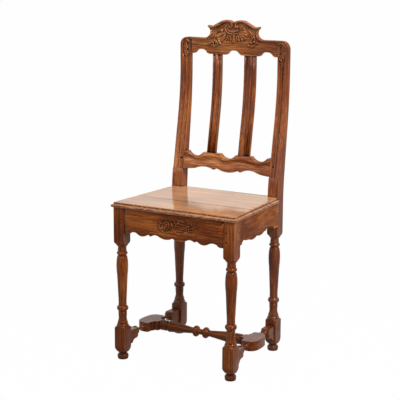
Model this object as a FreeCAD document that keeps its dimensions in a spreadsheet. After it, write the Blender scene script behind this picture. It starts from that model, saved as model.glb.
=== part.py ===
import FreeCAD, Part
import math
import os
import Sketcher

# Oak side chair: turned and squared legs, raked back with two upright slats,
# shaped aprons, a two-board seat and an H stretcher, all pegged mortise and tenon.
# Millimetres. +Z up, front of the chair towards -Y, origin on the floor under the middle.

os.makedirs("parts", exist_ok=True)
doc = FreeCAD.newDocument("side_chair")
sheet = doc.addObject("Spreadsheet::Sheet", "Sizes")


# A length, ratio or angle together with the expression that binds it to the sheet
class Size:
    def __init__(self, value, text):
        self.value = value
        self.text = text

    def __add__(self, other):
        other = as_size(other)
        return Size(self.value + other.value, "(%s + %s)" % (self.text, other.text))

    def __sub__(self, other):
        other = as_size(other)
        return Size(self.value - other.value, "(%s - %s)" % (self.text, other.text))

    def __mul__(self, other):
        other = as_size(other)
        return Size(self.value * other.value, "(%s * %s)" % (self.text, other.text))

    def __truediv__(self, other):
        other = as_size(other)
        return Size(self.value / other.value, "(%s / %s)" % (self.text, other.text))

    def __neg__(self):
        return Size(-self.value, "(-1 * %s)" % self.text)

    __radd__ = __add__
    __rmul__ = __mul__


def as_size(number):
    if isinstance(number, Size):
        return number
    return Size(float(number), "%.6g" % number if number >= 0 else "(%.6g)" % number)


def size(name, value):
    row = len(size_names) + 1
    size_names.append(name)
    sheet.set("A%d" % row, name)
    sheet.set("B%d" % row, str(value))
    sheet.setAlias("B%d" % row, name)
    return Size(float(value), "Sizes.%s" % name)


def arctangent(ratio):
    return Size(math.degrees(math.atan(ratio.value)), "atan(%s)" % ratio.text)


def cosine(angle):
    return Size(math.cos(math.radians(angle.value)), "cos(%s)" % angle.text)


def sine(angle):
    return Size(math.sin(math.radians(angle.value)), "sin(%s)" % angle.text)


size_names = []

# Legs
leg_width = size("leg_width", 35.2)
front_leg_spread = size("front_leg_spread", 368)
rear_leg_spread = size("rear_leg_spread", 335)
leg_depth = size("leg_depth", 301)
foot_height = size("foot_height", 37)
lower_block_height = size("lower_block_height", 60)
turned_height = size("turned_height", 265)
rear_turned_extra = size("rear_turned_extra", 8)

# Seat
seat_height = size("seat_height", 481)
seat_nose_thickness = size("seat_nose_thickness", 10)
seat_top_thickness = size("seat_top_thickness", 6)
seat_front_overhang = size("seat_front_overhang", 6.6)
seat_side_overhang = size("seat_side_overhang", 4.4)
seat_overhang = size("seat_overhang", 5)
seat_rear_reach = size("seat_rear_reach", 23)
seat_top_inset = size("seat_top_inset", 6)
seat_nose_radius = size("seat_nose_radius", 4.5)
seat_top_radius = size("seat_top_radius", 2.5)

# Raked back: heights of the stile's bends above one another
lower_bend_height = size("lower_bend_height", 80)
straight_height = size("straight_height", 155)
upper_bend_height = size("upper_bend_height", 160)
crest_rise = size("crest_rise", 32.5)
crest_end_height = size("crest_end_height", 49)
crest_peak_rise = size("crest_peak_rise", 55.5)
crest_thickness = size("crest_thickness", 16)
crest_field_depth = size("crest_field_depth", 2.2)
stile_moulding_depth = size("stile_moulding_depth", 4)
stile_block_height = size("stile_block_height", 73)
rail_hollow_depth = size("rail_hollow_depth", 1.2)
slat_moulding_depth = size("slat_moulding_depth", 2.4)
stile_corner_radius = size("stile_corner_radius", 24)
lower_rail_rise = size("lower_rail_rise", 58)
lower_rail_height = size("lower_rail_height", 54)
lower_rail_thickness = size("lower_rail_thickness", 20)
left_slat_width = size("left_slat_width", 29)
right_slat_width = size("right_slat_width", 37.5)
slat_thickness = size("slat_thickness", 13)
slat_face_setback = size("slat_face_setback", 3)
slat_tenon_length = size("slat_tenon_length", 14)
back_tenon_thickness = size("back_tenon_thickness", 7)
crest_tenon_shoulder = size("crest_tenon_shoulder", 4)
lower_rail_tenon_shoulder = size("lower_rail_tenon_shoulder", 8)

# Aprons
apron_depth = size("apron_depth", 77)
apron_thickness = size("apron_thickness", 22)
rear_apron_depth = size("rear_apron_depth", 65)
rear_apron_thickness = size("rear_apron_thickness", 20)

# Mortise and tenon joints
tenon_thickness = size("tenon_thickness", 9)
tenon_face_setback = size("tenon_face_setback", 6)
tenon_wall = size("tenon_wall", 2.2)
tenon_lower_shoulder = size("tenon_lower_shoulder", 8)
tenon_upper_shoulder = size("tenon_upper_shoulder", 10)
joint_clearance = size("joint_clearance", 0.15)
mortise_relief = size("mortise_relief", 0.5)
peg_diameter = size("peg_diameter", 7)
peg_length = size("peg_length", 22)
peg_inset = size("peg_inset", 9)
peg_clearance = size("peg_clearance", 0.05)

# H stretcher
stretcher_block_width = size("stretcher_block_width", 26)
stretcher_block_height = size("stretcher_block_height", 40)
stretcher_block_length = size("stretcher_block_length", 42)
stretcher_tenon_height = size("stretcher_tenon_height", 20)
bulb_diameter = size("bulb_diameter", 33)
centre_block_length = size("centre_block_length", 92)
centre_block_height = size("centre_block_height", 29)
centre_block_reach = size("centre_block_reach", 28)
lug_reach = size("lug_reach", 32)
cross_diameter = size("cross_diameter", 36)
cross_tenon_diameter = size("cross_tenon_diameter", 14)
cross_tenon_length = size("cross_tenon_length", 14)

# Room that a cut takes past a face, and how far apart two places may lie and still be one
overrun = size("overrun", 6)
same_place = 0.01

# Slope of the stile's straight stretch, as setback per height, in front and behind
front_lean_share = 0.178
back_lean_share = 0.112
# Rise over chord of an arc that turns a face by a slope of one
bend_bulge_share = 0.125
# Height of the stretchers' axis up the legs' lower blocks
stretcher_axis_share = 0.56

# Places worked out from the sizes above
half_leg = leg_width / 2
seat_underside = seat_height - seat_nose_thickness - seat_top_thickness
bend_start = seat_underside
straight_start = bend_start + lower_bend_height
straight_end = straight_start + straight_height
bend_end = straight_end + upper_bend_height
crest_low = bend_end + crest_rise
stile_top = crest_low + crest_end_height
lower_rail_low = seat_height + lower_rail_rise
moulding_low = bend_start + stile_block_height
lower_rail_top = lower_rail_low + lower_rail_height
apron_low = seat_underside - apron_depth
rear_apron_low = seat_underside - rear_apron_depth
side_half_length = leg_depth / 2 - half_leg
rear_half_length = rear_leg_spread / 2 - half_leg
front_half_length = front_leg_spread / 2 - half_leg
mean_half_spread = (front_leg_spread + rear_leg_spread) / 4
side_slope = (front_leg_spread - rear_leg_spread) / 2 / leg_depth
side_angle = arctangent(side_slope)
side_cosine = cosine(side_angle)
tenon_length = leg_width - tenon_face_setback - tenon_thickness - tenon_wall
stretcher_height = foot_height + lower_block_height * stretcher_axis_share


# Setback of a raked face at each height of the bends
def setbacks(lean_share):
    low = lower_bend_height * (lean_share / 2)
    middle = low + straight_height * lean_share
    high = middle + upper_bend_height * (lean_share / 2)
    return low, middle, high


back_setback = setbacks(back_lean_share)[2]
chair_shift = (seat_overhang - back_setback) / 2
front_leg_y = chair_shift - leg_depth / 2
rear_leg_y = chair_shift + leg_depth / 2

# Outlines. Each row is two shares and, for an arc, its rise as a share of its chord
foot_shares = [
    (0.426, 0.00), (0.468, 0.10), (0.480, 0.25), (0.455, 0.39), (0.403, 0.46), (0.398, 0.51),
    (0.52, 0.66), (0.64, 0.80), (0.72, 1.00),
]
turning_shares = [
    (0.72, 0.00), (0.509, 0.019), (0.511, 0.034), (0.477, 0.040), (0.50, 0.045), (0.466, 0.057),
    (0.361, 0.147, 0.09), (0.364, 0.174, 0.02), (0.426, 0.206, 0.08), (0.426, 0.251, -0.19),
    (0.369, 0.257), (0.341, 0.306, 0.03), (0.446, 0.608), (0.485, 0.660),
    (0.503, 0.717), (0.484, 0.775), (0.426, 0.826),
    (0.401, 0.832), (0.406, 0.847), (0.406, 0.881, -0.2), (0.381, 0.887), (0.375, 0.909),
    (0.497, 0.958, 0.18), (0.50, 0.968), (0.62, 0.977), (0.72, 1.00),
]
front_edge_shares = [
    (-1.0, 0.026), (-0.913, 0.026), (-0.889, 0.104, 0.1), (-0.727, 0.091, 0.15),
    (-0.547, 0.047, -0.15), (-0.487, 0.110, 0.1), (-0.451, 0.045), (-0.276, 0.084, 0.16),
    (0.0, 0.091, -0.13), (0.048, 0.026), (0.252, 0.052, -0.02), (0.427, 0.071, 0.17),
    (0.451, 0.071), (0.487, 0.117, 0.1), (0.721, 0.084, -0.19), (0.871, 0.083, 0.1),
    (0.904, 0.022), (0.929, 0.0), (1.0, 0.0),
]
side_edge_shares = [
    (-1.0, 0.065), (-0.903, 0.065), (-0.858, 0.169, 0.15), (-0.685, 0.149, 0.2),
    (-0.527, 0.126), (-0.135, 0.130, -0.1), (0.248, 0.148, -0.09), (0.346, 0.156),
    (0.429, 0.236, 0.1), (0.655, 0.236, 0.03), (0.722, 0.182), (0.798, 0.065, 0.1),
    (1.0, 0.071),
]
crest_top_shares = [
    (0.0, 0.829), (0.040, 0.937), (0.207, 0.991, 0.08), (0.274, 0.937, 0.05), (0.434, 0.712),
    (0.50, 0.667, -0.08), (0.567, 0.694, -0.08), (0.574, 0.595, 0.4), (0.552, 0.153, -0.21),
    (0.687, 0.0, -0.12),
]
crest_arch_shares = [
    (-0.180, 0.0), (-0.123, 0.133, -0.1), (-0.060, 0.261, 0.06), (0.060, 0.261, 0.02),
    (0.123, 0.133, 0.06), (0.180, 0.0, -0.1),
]
crest_arch_centre_shares = [-0.75, 0.0, 0.75]
rail_low_shares = [
    (-1.0, 0.0), (-0.70, 0.083, -0.02), (-0.307, 0.120, 0.1), (-0.274, 0.081), (-0.220, 0.180),
    (-0.180, 0.157, 0.1), (0.267, 0.120, -0.1), (0.287, 0.150), (0.340, 0.080),
    (0.380, 0.130, 0.05), (0.734, 0.120, 0.12), (1.0, 0.024, -0.03),
]
rail_dip_shares = [-0.742, 0.018, 0.738]
rail_dip_width_share = 0.36
rail_dip_bulge_share = -0.25
rail_hollow_shares = [(0.0, 0.53), (1.0, 0.53), (1.4, 1.0, 0.09)]
left_slat_centre_share = -0.382
right_slat_centre_share = 0.368

# The crest's sunk field, under the moulding that follows its top
crest_field_shares = [
    (0.0, 0.695), (0.052, 0.800), (0.195, 0.862), (0.262, 0.812), (0.425, 0.590), (0.50, 0.545, -0.06),
    (0.526, 0.540), (0.511, 0.153), (0.522, 0.060), (0.575, -0.050), (0.687, -0.130), (1.0, -0.130),
]
# Mouldings across a stile and the slats: share of the width, share of the depth
stile_moulding_shares = [
    (-0.1, 0.5), (0.0, 0.5), (0.085, 0.55, -0.4), (0.10, 0.62), (0.385, 0.50, 0.19), (0.455, 0.40, -0.45),
    (0.47, 0.80), (0.51, 0.80), (0.525, 0.62), (0.96, 0.30, -0.085), (1.0, 0.70, -0.2), (1.1, 0.70),
]
left_slat_shares = [
    (-0.1, 0.30), (0.0, 0.30), (0.05, 0.20), (0.07, 0.60), (0.33, 0.50, 0.14), (0.36, 0.0), (0.38, -0.4),
    (0.62, -0.4), (0.64, 0.0), (0.67, 0.50), (0.93, 0.60, 0.14), (0.95, 0.20), (1.0, 0.30), (1.1, 0.30),
]
right_slat_shares = [
    (-0.1, 0.40), (0.0, 0.40), (0.08, 0.45, -0.4), (0.10, 0.70), (0.52, 0.45, 0.12), (0.55, 0.15),
    (0.66, 0.15, -0.05), (0.68, 0.95), (0.73, 0.95), (0.76, 0.30), (1.0, 0.45), (1.1, 0.45),
]
side_turning_shares = [
    (0.33, 0.0), (0.40, 0.02), (0.40, 0.12, -0.3), (0.30, 0.15), (0.30, 0.19), (0.31, 0.20),
    (0.31, 0.80, -0.23), (0.28, 0.82), (0.28, 0.85), (0.38, 0.87), (0.38, 0.97, -0.3), (0.34, 1.0),
]
cross_turning_shares = [
    (0.0, 0.24), (0.05, 0.24), (0.075, 0.40), (0.158, 0.40, 0.22), (0.18, 0.30), (0.215, 0.26),
    (0.765, 0.50), (0.785, 0.37), (0.81, 0.36), (0.82, 0.41), (0.87, 0.41, 0.22), (0.88, 0.41),
    (0.93, 0.41, 0.22), (0.94, 0.41), (0.985, 0.41, 0.22), (1.0, 0.37),
]


# A side stretcher's end block seen from the side, and its centre block seen from above
stretcher_end_shares = [
    (0.92, 0.29), (0.06, 0.29), (0.0, 0.24), (0.0, -0.34), (0.30, -0.46, -0.16),
    (0.66, -0.73, 0.16), (0.92, -0.73),
]
centre_block_low_share = -0.53
centre_block_edge_share = 0.42
centre_block_bow_shares = (0.58, -0.12, -0.04)
centre_block_lug_share = 0.13
centre_block_scallop_shares = [(1.35, 0.60, -0.2), (1.8, 0.36, -0.2)]


# Body and sketch helpers
def new_body(label, x=0, y=0, z=0, angle=0):
    body = doc.addObject("PartDesign::Body", label)
    body.Label = label
    for path, place in (("x", x), ("y", y), ("z", z)):
        bind(body, "Placement.Base.%s" % path, as_size(place))
    if isinstance(angle, Size):
        body.Placement.Rotation = FreeCAD.Rotation(FreeCAD.Vector(0, 0, 1), angle.value)
        body.setExpression("Placement.Rotation.Angle", angle.text)
    return body


def bind(item, path, measure):
    item.setExpression(path, measure.text)


# A sketch beside one of the body's planes; a swing turns it about the upright axis
def new_sketch(body, role, offset, name, swing=None):
    sketch = body.newObject("Sketcher::SketchObject", name)
    origin_plane = [f for f in body.Origin.OriginFeatures if f.Role == role][0]
    sketch.AttachmentSupport = [(origin_plane, "")]
    sketch.MapMode = "FlatFace"
    if swing is None:
        bind(sketch, "AttachmentOffset.Base.z", offset)
        return sketch
    upright = FreeCAD.Vector(0, 1, 0)
    sketch.AttachmentOffset = FreeCAD.Placement(FreeCAD.Vector(), FreeCAD.Rotation(upright, swing.value))
    bind(sketch, "AttachmentOffset.Rotation.Angle", swing)
    bind(sketch, "AttachmentOffset.Base.x", offset * sine(swing))
    bind(sketch, "AttachmentOffset.Base.z", offset * cosine(swing))
    return sketch


# Draws one closed outline of (across, up) rows; a third value is the arc's rise over
# its chord, to the left of the way of travel when positive
def draw(sketch, outline, closed=True):
    rows = [(as_size(row[0]), as_size(row[1])) for row in outline]
    bulges = [row[2] if len(row) > 2 else 0 for row in outline]
    rules = []
    bound = []
    ends = []
    steps = list(zip(rows[-1:] + rows[:-1], rows, bulges))
    for (start, end, bulge) in steps if closed else steps[1:]:
        first = FreeCAD.Vector(start[0].value, start[1].value, 0)
        last = FreeCAD.Vector(end[0].value, end[1].value, 0)
        if bulge == 0:
            edge = sketch.addGeometry(Part.LineSegment(first, last), False)
            ends.append((edge, 1, 2))
            continue
        middle = ((start[0] + end[0]) / 2 - (end[1] - start[1]) * bulge,
                  (start[1] + end[1]) / 2 + (end[0] - start[0]) * bulge)
        through = FreeCAD.Vector(middle[0].value, middle[1].value, 0)
        edge = sketch.addGeometry(Part.Arc(first, through, last), False)
        mark = sketch.addGeometry(Part.Point(through), True)
        forward = sketch.getPoint(edge, 1).distanceToPoint(first) < \
            sketch.getPoint(edge, 2).distanceToPoint(first)
        ends.append((edge, 1, 2) if forward else (edge, 2, 1))
        rules.append(Sketcher.Constraint("PointOnObject", mark, 1, edge))
        bound.append((mark, 1, middle))
    for (this, following) in zip(ends, ends[1:] + ends[:1] if closed else ends[1:]):
        rules.append(Sketcher.Constraint("Coincident", this[0], this[2], following[0], following[1]))
    for (this, corner) in zip(ends, rows if closed else rows[1:]):
        bound.append((this[0], this[2], corner))
    if not closed:
        bound.append((ends[0][0], ends[0][1], rows[0]))
    add_rules(sketch, rules, bound)


def add_rules(sketch, rules, bound):
    texts = []
    for (edge, end, corner) in bound:
        for kind, measure in (("DistanceX", corner[0]), ("DistanceY", corner[1])):
            rules.append(Sketcher.Constraint(kind, -1, 1, edge, end, measure.value))
            texts.append((len(rules) - 1, measure.text))
    shift = sketch.ConstraintCount
    sketch.addConstraint(rules)
    for (index, text) in texts:
        sketch.setExpression("Constraints[%d]" % (index + shift), text)


def draw_circle(sketch, across, up, diameter):
    centre = (as_size(across), as_size(up))
    place = FreeCAD.Vector(centre[0].value, centre[1].value, 0)
    normal = FreeCAD.Vector(0, 0, 1)
    edge = sketch.addGeometry(Part.Circle(place, normal, diameter.value / 2), False)
    add_rules(sketch, [], [(edge, 3, centre)])
    index = sketch.addConstraint(Sketcher.Constraint("Diameter", edge, diameter.value))
    sketch.setExpression("Constraints[%d]" % index, diameter.text)


# Adds or cuts the sketch's area between two places along the plane's own world axis
def prism(body, kind, name, role, span, outlines=(), circles=(), swing=None):
    low, high = sorted((as_size(end) for end in span), key=lambda end: end.value)
    backwards = role == "XZ_Plane"
    sketch = new_sketch(body, role, -low if backwards else low, name + "Sketch", swing)
    for outline in outlines:
        draw(sketch, outline)
    for (across, up, diameter) in circles:
        draw_circle(sketch, across, up, diameter)
    feature = body.newObject("PartDesign::" + kind, name)
    feature.Profile = sketch
    feature.Reversed = backwards if kind == "Pad" else not backwards
    feature.Length = (high - low).value
    bind(feature, "Length", high - low)
    return feature


def turn(body, kind, name, role, axis, outline):
    sketch = new_sketch(body, role, as_size(0), name + "Sketch")
    draw(sketch, outline)
    feature = body.newObject("PartDesign::" + kind, name)
    feature.Profile = sketch
    feature.ReferenceAxis = (sketch, [axis])
    feature.Angle = 360
    return feature


# Cuts a moulding: its level outline keeps its direction along a run seen from the side
def moulding(body, name, table, inner, width, depth, start, run):
    profile = new_sketch(body, "XY_Plane", start[1], name + "Profile")
    way = 1 if width.value > 0 else -1
    line = [(inner + width * row[0], start[0] + depth * row[1], (row[2] if len(row) > 2 else 0) * way)
            for row in table]
    draw(profile, line + [(line[-1][0], start[0] - overrun), (line[0][0], start[0] - overrun)])
    path = new_sketch(body, "YZ_Plane", as_size(0), name + "Path")
    draw(path, [start] + run, closed=False)
    feature = body.newObject("PartDesign::SubtractivePipe", name)
    feature.Profile = profile
    feature.Spine = (path, ["Edge%d" % (number + 1) for number in range(len(run))])
    feature.Mode = "Fixed"
    return feature


def rectangle(across, up):
    return [(across[0], up[0]), (across[1], up[0]), (across[1], up[1]), (across[0], up[1])]


def grown(span, room):
    low, high = sorted((as_size(end) for end in span), key=lambda end: end.value)
    return low - room, high + room


def scaled(table, across, up, across_start=0, up_start=0):
    return [(across_start + across * row[0], up_start + up * row[1]) + tuple(row[2:]) for row in table]


# The same run walked the other way
def reversed_run(run):
    bulges = [row[2] if len(row) > 2 else 0 for row in run]
    walked = []
    for index in reversed(range(len(run))):
        bulge = -bulges[index + 1] if index + 1 < len(run) else 0
        walked.append((run[index][0], run[index][1], bulge))
    return walked


# The run's mirror image in the vertical axis, walked so that it leads into the run
def mirrored_run(run):
    return [(-row[0], row[1], -row[2]) for row in reversed_run(run)]


def round_edges(body, name, test, radius):
    doc.recompute([sheet] + body.Group)
    base = body.Tip
    names = ["Edge%d" % (number + 1) for number, edge in enumerate(base.Shape.Edges) if test(edge)]
    rounding = body.newObject("PartDesign::Fillet", name)
    rounding.Base = (base, names)
    rounding.Radius = radius.value
    bind(rounding, "Radius", radius)
    return rounding


# Joint places, shared by the tenons, the mortises and the pegs
apron_tenon_height = (apron_low + tenon_lower_shoulder, seat_underside - tenon_upper_shoulder)
rear_tenon_height = (rear_apron_low + tenon_lower_shoulder, seat_underside - tenon_upper_shoulder)
crest_tenon_height = (crest_low + crest_tenon_shoulder, stile_top - crest_tenon_shoulder)
stretcher_tenon_span = (-stretcher_tenon_height / 2, stretcher_tenon_height / 2)
face_tenon = (tenon_face_setback, tenon_face_setback + tenon_thickness)
mortise_depth = tenon_length + mortise_relief
peg_height_shares = [0.16, 0.62]


def peg_heights(tenon):
    return [tenon[0] + (tenon[1] - tenon[0]) * share for share in peg_height_shares]


def hole_size():
    return peg_diameter + peg_clearance * 2


# Places of a raked face, seen from the side: (setback, height) at each bend
def raked_run(lean_share, start, offset):
    low, middle, high = setbacks(lean_share)
    return [
        (offset, start),
        (offset + low, straight_start, lean_share * bend_bulge_share),
        (offset + middle, straight_end),
        (offset + high, bend_end, -lean_share * bend_bulge_share),
    ]


# How far the front of the back lies behind the leg's front face on the straight stretch
def lean_at(height):
    bend = lower_bend_height * (front_lean_share / 2)
    return -half_leg + bend + (height - straight_start) * front_lean_share


crest_face = -half_leg + setbacks(front_lean_share)[2]


# The front of the back above its straight stretch, at a distance behind the stile's face
def face_run(behind):
    middle, high = setbacks(front_lean_share)[1:]
    return [(-half_leg + middle + behind, straight_end),
            (-half_leg + high + behind, bend_end, -front_lean_share * bend_bulge_share)]


def turned_section(body, name, table, low, height):
    run = scaled(table, leg_width, height, 0, low)
    outer = leg_width
    turn(body, "Groove", name, "XZ_Plane", "V_Axis", run + [(outer, low + height), (outer, low)])


# A stretcher's end block sits in the lower block of each leg, turned with the side
def stretcher_mortise(body, side, inward):
    half = tenon_thickness / 2 + joint_clearance
    mouth = (half_leg + overrun) * inward
    deep = (half_leg - mortise_depth) * inward
    slant = side_slope * (-side)
    outline = [
        (-half + mouth * slant, mouth), (half + mouth * slant, mouth),
        (half + deep * slant, deep), (-half + deep * slant, deep),
    ]
    if inward < 0:
        outline = outline[::-1]
    low, high = grown(stretcher_tenon_span, joint_clearance)
    prism(body, "Pocket", "StretcherMortise", "XY_Plane",
          (stretcher_height + low, stretcher_height + high), [outline])
    hole = (half_leg - peg_inset) * inward
    prism(body, "Pocket", "StretcherPegHole", "YZ_Plane",
          ((half_leg + overrun) * side, (half_leg - peg_length) * side),
          circles=[(hole, stretcher_height, hole_size())])


def side_apron_mortise(body, side, inward):
    prism(body, "Pocket", "SideApronMortise", "XY_Plane", grown(apron_tenon_height, joint_clearance),
          [rectangle(grown([(half_leg - reach) * side for reach in face_tenon], joint_clearance),
                     sorted(((half_leg + overrun) * inward, (half_leg - mortise_depth) * inward),
                            key=lambda end: end.value))])
    hole = (half_leg - peg_inset) * inward
    prism(body, "Pocket", "SideApronPegHoles", "YZ_Plane",
          ((half_leg + overrun) * side, (half_leg - peg_length) * side),
          circles=[(hole, height, hole_size()) for height in peg_heights(apron_tenon_height)])


# A joint that enters the leg from the middle of the chair
def inner_mortise(body, name, side, across, up):
    prism(body, "Pocket", name, "YZ_Plane",
          ((half_leg + overrun) * (-side), (half_leg - mortise_depth) * (-side)),
          [rectangle(across, up)])


def peg_holes(body, name, side, span, heights):
    prism(body, "Pocket", name, "XZ_Plane", span,
          circles=[((half_leg - peg_inset) * (-side), height, hole_size()) for height in heights])


def front_leg(label, side):
    body = new_body(label, front_leg_spread / 2 * side, front_leg_y)
    prism(body, "Pad", "Blank", "XY_Plane", (0, seat_underside),
          [rectangle((-half_leg, half_leg), (-half_leg, half_leg))])
    turned_section(body, "FootTurning", foot_shares, as_size(0), foot_height)
    turned_section(body, "LegTurning", turning_shares, foot_height + lower_block_height, turned_height)
    inner_mortise(body, "FrontApronMortise", side,
                  grown([-half_leg + reach for reach in face_tenon], joint_clearance),
                  grown(apron_tenon_height, joint_clearance))
    peg_holes(body, "FrontApronPegHoles", side, (-half_leg - overrun, -half_leg + peg_length),
              peg_heights(apron_tenon_height))
    side_apron_mortise(body, side, 1)
    stretcher_mortise(body, side, 1)
    return body


def rear_leg(label, side):
    body = new_body(label, rear_leg_spread / 2 * side, rear_leg_y)
    front = [(-half_leg, 0)] + raked_run(front_lean_share, bend_start, -half_leg)
    back = [(half_leg, 0)] + raked_run(back_lean_share, bend_start, half_leg)
    top = [(crest_face, stile_top), (half_leg + back_setback, stile_top)]
    prism(body, "Pad", "Blank", "YZ_Plane", (-half_leg, half_leg), [front + top + reversed_run(back)])
    turned_section(body, "FootTurning", foot_shares, as_size(0), foot_height)
    turned_section(body, "LegTurning", turning_shares, foot_height + lower_block_height,
                   turned_height + rear_turned_extra)
    round_edges(body, "HeadCorner", lambda edge: is_head_corner(edge, side), stile_corner_radius)
    moulding(body, "StileMoulding", stile_moulding_shares, half_leg * (-side), leg_width * side,
             stile_moulding_depth, (lean_at(moulding_low), moulding_low), face_run(as_size(0)) + [
                 (crest_face, stile_top + overrun)])
    side_apron_mortise(body, side, -1)
    stretcher_mortise(body, side, -1)
    inner_mortise(body, "RearApronMortise", side,
                  grown((-tenon_thickness / 2, tenon_thickness / 2), joint_clearance),
                  grown(rear_tenon_height, joint_clearance))
    peg_holes(body, "RearApronPegHoles", side, (half_leg + overrun, half_leg - peg_length),
              peg_heights(rear_tenon_height))
    inner_mortise(body, "CrestMortise", side, grown(crest_tenon_across(), joint_clearance),
                  grown(crest_tenon_height, joint_clearance))
    peg_holes(body, "CrestPegHoles", side, (crest_face - overrun, half_leg + back_setback + overrun),
              peg_heights(crest_tenon_height))
    prism(body, "Pocket", "LowerRailMortise", "YZ_Plane",
          ((half_leg + overrun) * (-side), (half_leg - mortise_depth) * (-side)),
          [leaning_tenon(joint_clearance)])
    peg_holes(body, "LowerRailPegHoles", side, lower_peg_span(overrun), [lower_peg_height()])
    return body


def is_head_corner(edge, side):
    middle = edge.CenterOfMass
    outer = abs(middle.x - half_leg.value * side) < same_place
    return outer and abs(middle.z - stile_top.value) < same_place


# The crest's own tenons and the slats' upper ones lie at the same depth
def crest_tenon_across():
    near = crest_face + tenon_face_setback
    return near, near + back_tenon_thickness


# The leaning tenon of the lower back rail, or its mortise when given room
def leaning_tenon(room):
    low = lower_rail_low + lower_rail_tenon_shoulder - room
    high = lower_rail_top - lower_rail_tenon_shoulder + room
    return leaning_band(low, high, tenon_face_setback - room,
                        tenon_face_setback + back_tenon_thickness + room)


def leaning_band(low, high, near, far):
    return [(lean_at(low) + near, low), (lean_at(low) + far, low),
            (lean_at(high) + far, high), (lean_at(high) + near, high)]


def lower_peg_height():
    return (lower_rail_low + lower_rail_top) / 2 + crest_tenon_shoulder


def lower_peg_span(room):
    face = lean_at(lower_peg_height())
    return face - room, face + peg_length


# Aprons
def front_apron():
    body = new_body("front_apron", 0, front_leg_y)
    edge = scaled(front_edge_shares, front_half_length, apron_depth, 0, apron_low)
    prism(body, "Pad", "Board", "XZ_Plane", (-half_leg, -half_leg + apron_thickness),
          [edge + [(front_half_length, seat_underside), (-front_half_length, seat_underside)]])
    reach = front_half_length + tenon_length
    prism(body, "Pad", "Tenons", "XZ_Plane", [-half_leg + place for place in face_tenon],
          [rectangle((-reach, reach), apron_tenon_height)])
    hole = front_half_length + peg_inset
    prism(body, "Pocket", "PegHoles", "XZ_Plane", (-half_leg - overrun, -half_leg + peg_length),
          circles=[(place, height, hole_size()) for height in peg_heights(apron_tenon_height)
                   for place in (-hole, hole)])
    return body


def rear_apron():
    body = new_body("rear_apron", 0, rear_leg_y)
    half = rear_apron_thickness / 2
    prism(body, "Pad", "Board", "XZ_Plane", (-half, half),
          [rectangle((-rear_half_length, rear_half_length), (rear_apron_low, seat_underside))])
    reach = rear_half_length + tenon_length
    prism(body, "Pad", "Tenons", "XZ_Plane", (-tenon_thickness / 2, tenon_thickness / 2),
          [rectangle((-reach, reach), rear_tenon_height)])
    hole = rear_half_length + peg_inset
    prism(body, "Pocket", "PegHoles", "XZ_Plane", (half_leg, half_leg - peg_length),
          circles=[(place, height, hole_size()) for height in peg_heights(rear_tenon_height)
                   for place in (-hole, hole)])
    return body


# The line of the legs' outer faces, at a distance behind the middle
def side_face(behind):
    return mean_half_spread + half_leg - side_slope * behind


def side_apron(label, side):
    body = new_body(label, 0, chair_shift)
    front_face, rear_face = side_face(-side_half_length), side_face(side_half_length)
    plan = [
        (front_face * side, -side_half_length), (rear_face * side, side_half_length),
        ((rear_face - apron_thickness) * side, side_half_length),
        ((front_face - apron_thickness) * side, -side_half_length),
    ]
    prism(body, "Pad", "Board", "XY_Plane", (apron_low, seat_underside), [plan])
    edge = scaled(side_edge_shares, side_half_length, apron_depth, 0, apron_low)
    past = side_half_length + overrun
    below = apron_low - overrun
    waste = [(-past, edge[0][1])] + edge + [(past, edge[-1][1]), (past, below), (-past, below)]
    prism(body, "Pocket", "LowerEdge", "YZ_Plane",
          ((rear_face - apron_thickness - overrun) * side, (front_face + overrun) * side), [waste])
    for name, spread, inward in (("FrontTenon", front_leg_spread, -1), ("RearTenon", rear_leg_spread, 1)):
        outer = spread / 2 + half_leg
        along = ((side_half_length - overrun) * inward, (side_half_length + tenon_length) * inward)
        prism(body, "Pad", name, "XY_Plane", apron_tenon_height,
              [rectangle([(outer - reach) * side for reach in face_tenon], along)])
        prism(body, "Pocket", name + "PegHoles", "YZ_Plane",
              ((outer + overrun) * side, (outer - peg_length) * side),
              circles=[((side_half_length + peg_inset) * inward, height, hole_size())
                       for height in peg_heights(apron_tenon_height)])
    return body


# Raked back
def crest_rail():
    body = new_body("crest_rail", 0, rear_leg_y)
    top = scaled(crest_top_shares, rear_half_length, crest_peak_rise, 0, stile_top)
    top = top + [(rear_half_length, stile_top)]
    bottom = []
    for centre_share in crest_arch_centre_shares:
        bottom = bottom + scaled(crest_arch_shares, rear_half_length, crest_end_height,
                                 rear_half_length * centre_share, crest_low)
    bottom = [(-rear_half_length, crest_low)] + bottom + [(rear_half_length, crest_low)]
    prism(body, "Pad", "Board", "XZ_Plane", (crest_face, crest_face + crest_thickness),
          [mirrored_run(top)[:-1] + top + reversed_run(bottom)])
    field = scaled(crest_field_shares, rear_half_length, crest_peak_rise, 0, stile_top)
    low = crest_low - overrun
    prism(body, "Pocket", "Field", "XZ_Plane", (crest_face - overrun, crest_face + crest_field_depth),
          [mirrored_run(field)[:-1] + field + [(rear_half_length, low), (-rear_half_length, low)]])
    reach = rear_half_length + tenon_length
    prism(body, "Pad", "Tenons", "XZ_Plane", crest_tenon_across(),
          [rectangle((-reach, -rear_half_length + overrun), crest_tenon_height),
           rectangle((rear_half_length - overrun, reach), crest_tenon_height)])
    hole = rear_half_length + peg_inset
    prism(body, "Pocket", "PegHoles", "XZ_Plane", (crest_face - overrun, half_leg + back_setback + overrun),
          circles=[(place, height, hole_size()) for height in peg_heights(crest_tenon_height)
                   for place in (-hole, hole)])
    for name, span in slat_spans().items():
        prism(body, "Pocket", name + "Mortise", "YZ_Plane", grown(span, joint_clearance),
              [rectangle(grown(crest_tenon_across(), joint_clearance),
                         (crest_low - overrun, crest_low + slat_tenon_length + mortise_relief))])
    return body


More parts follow.
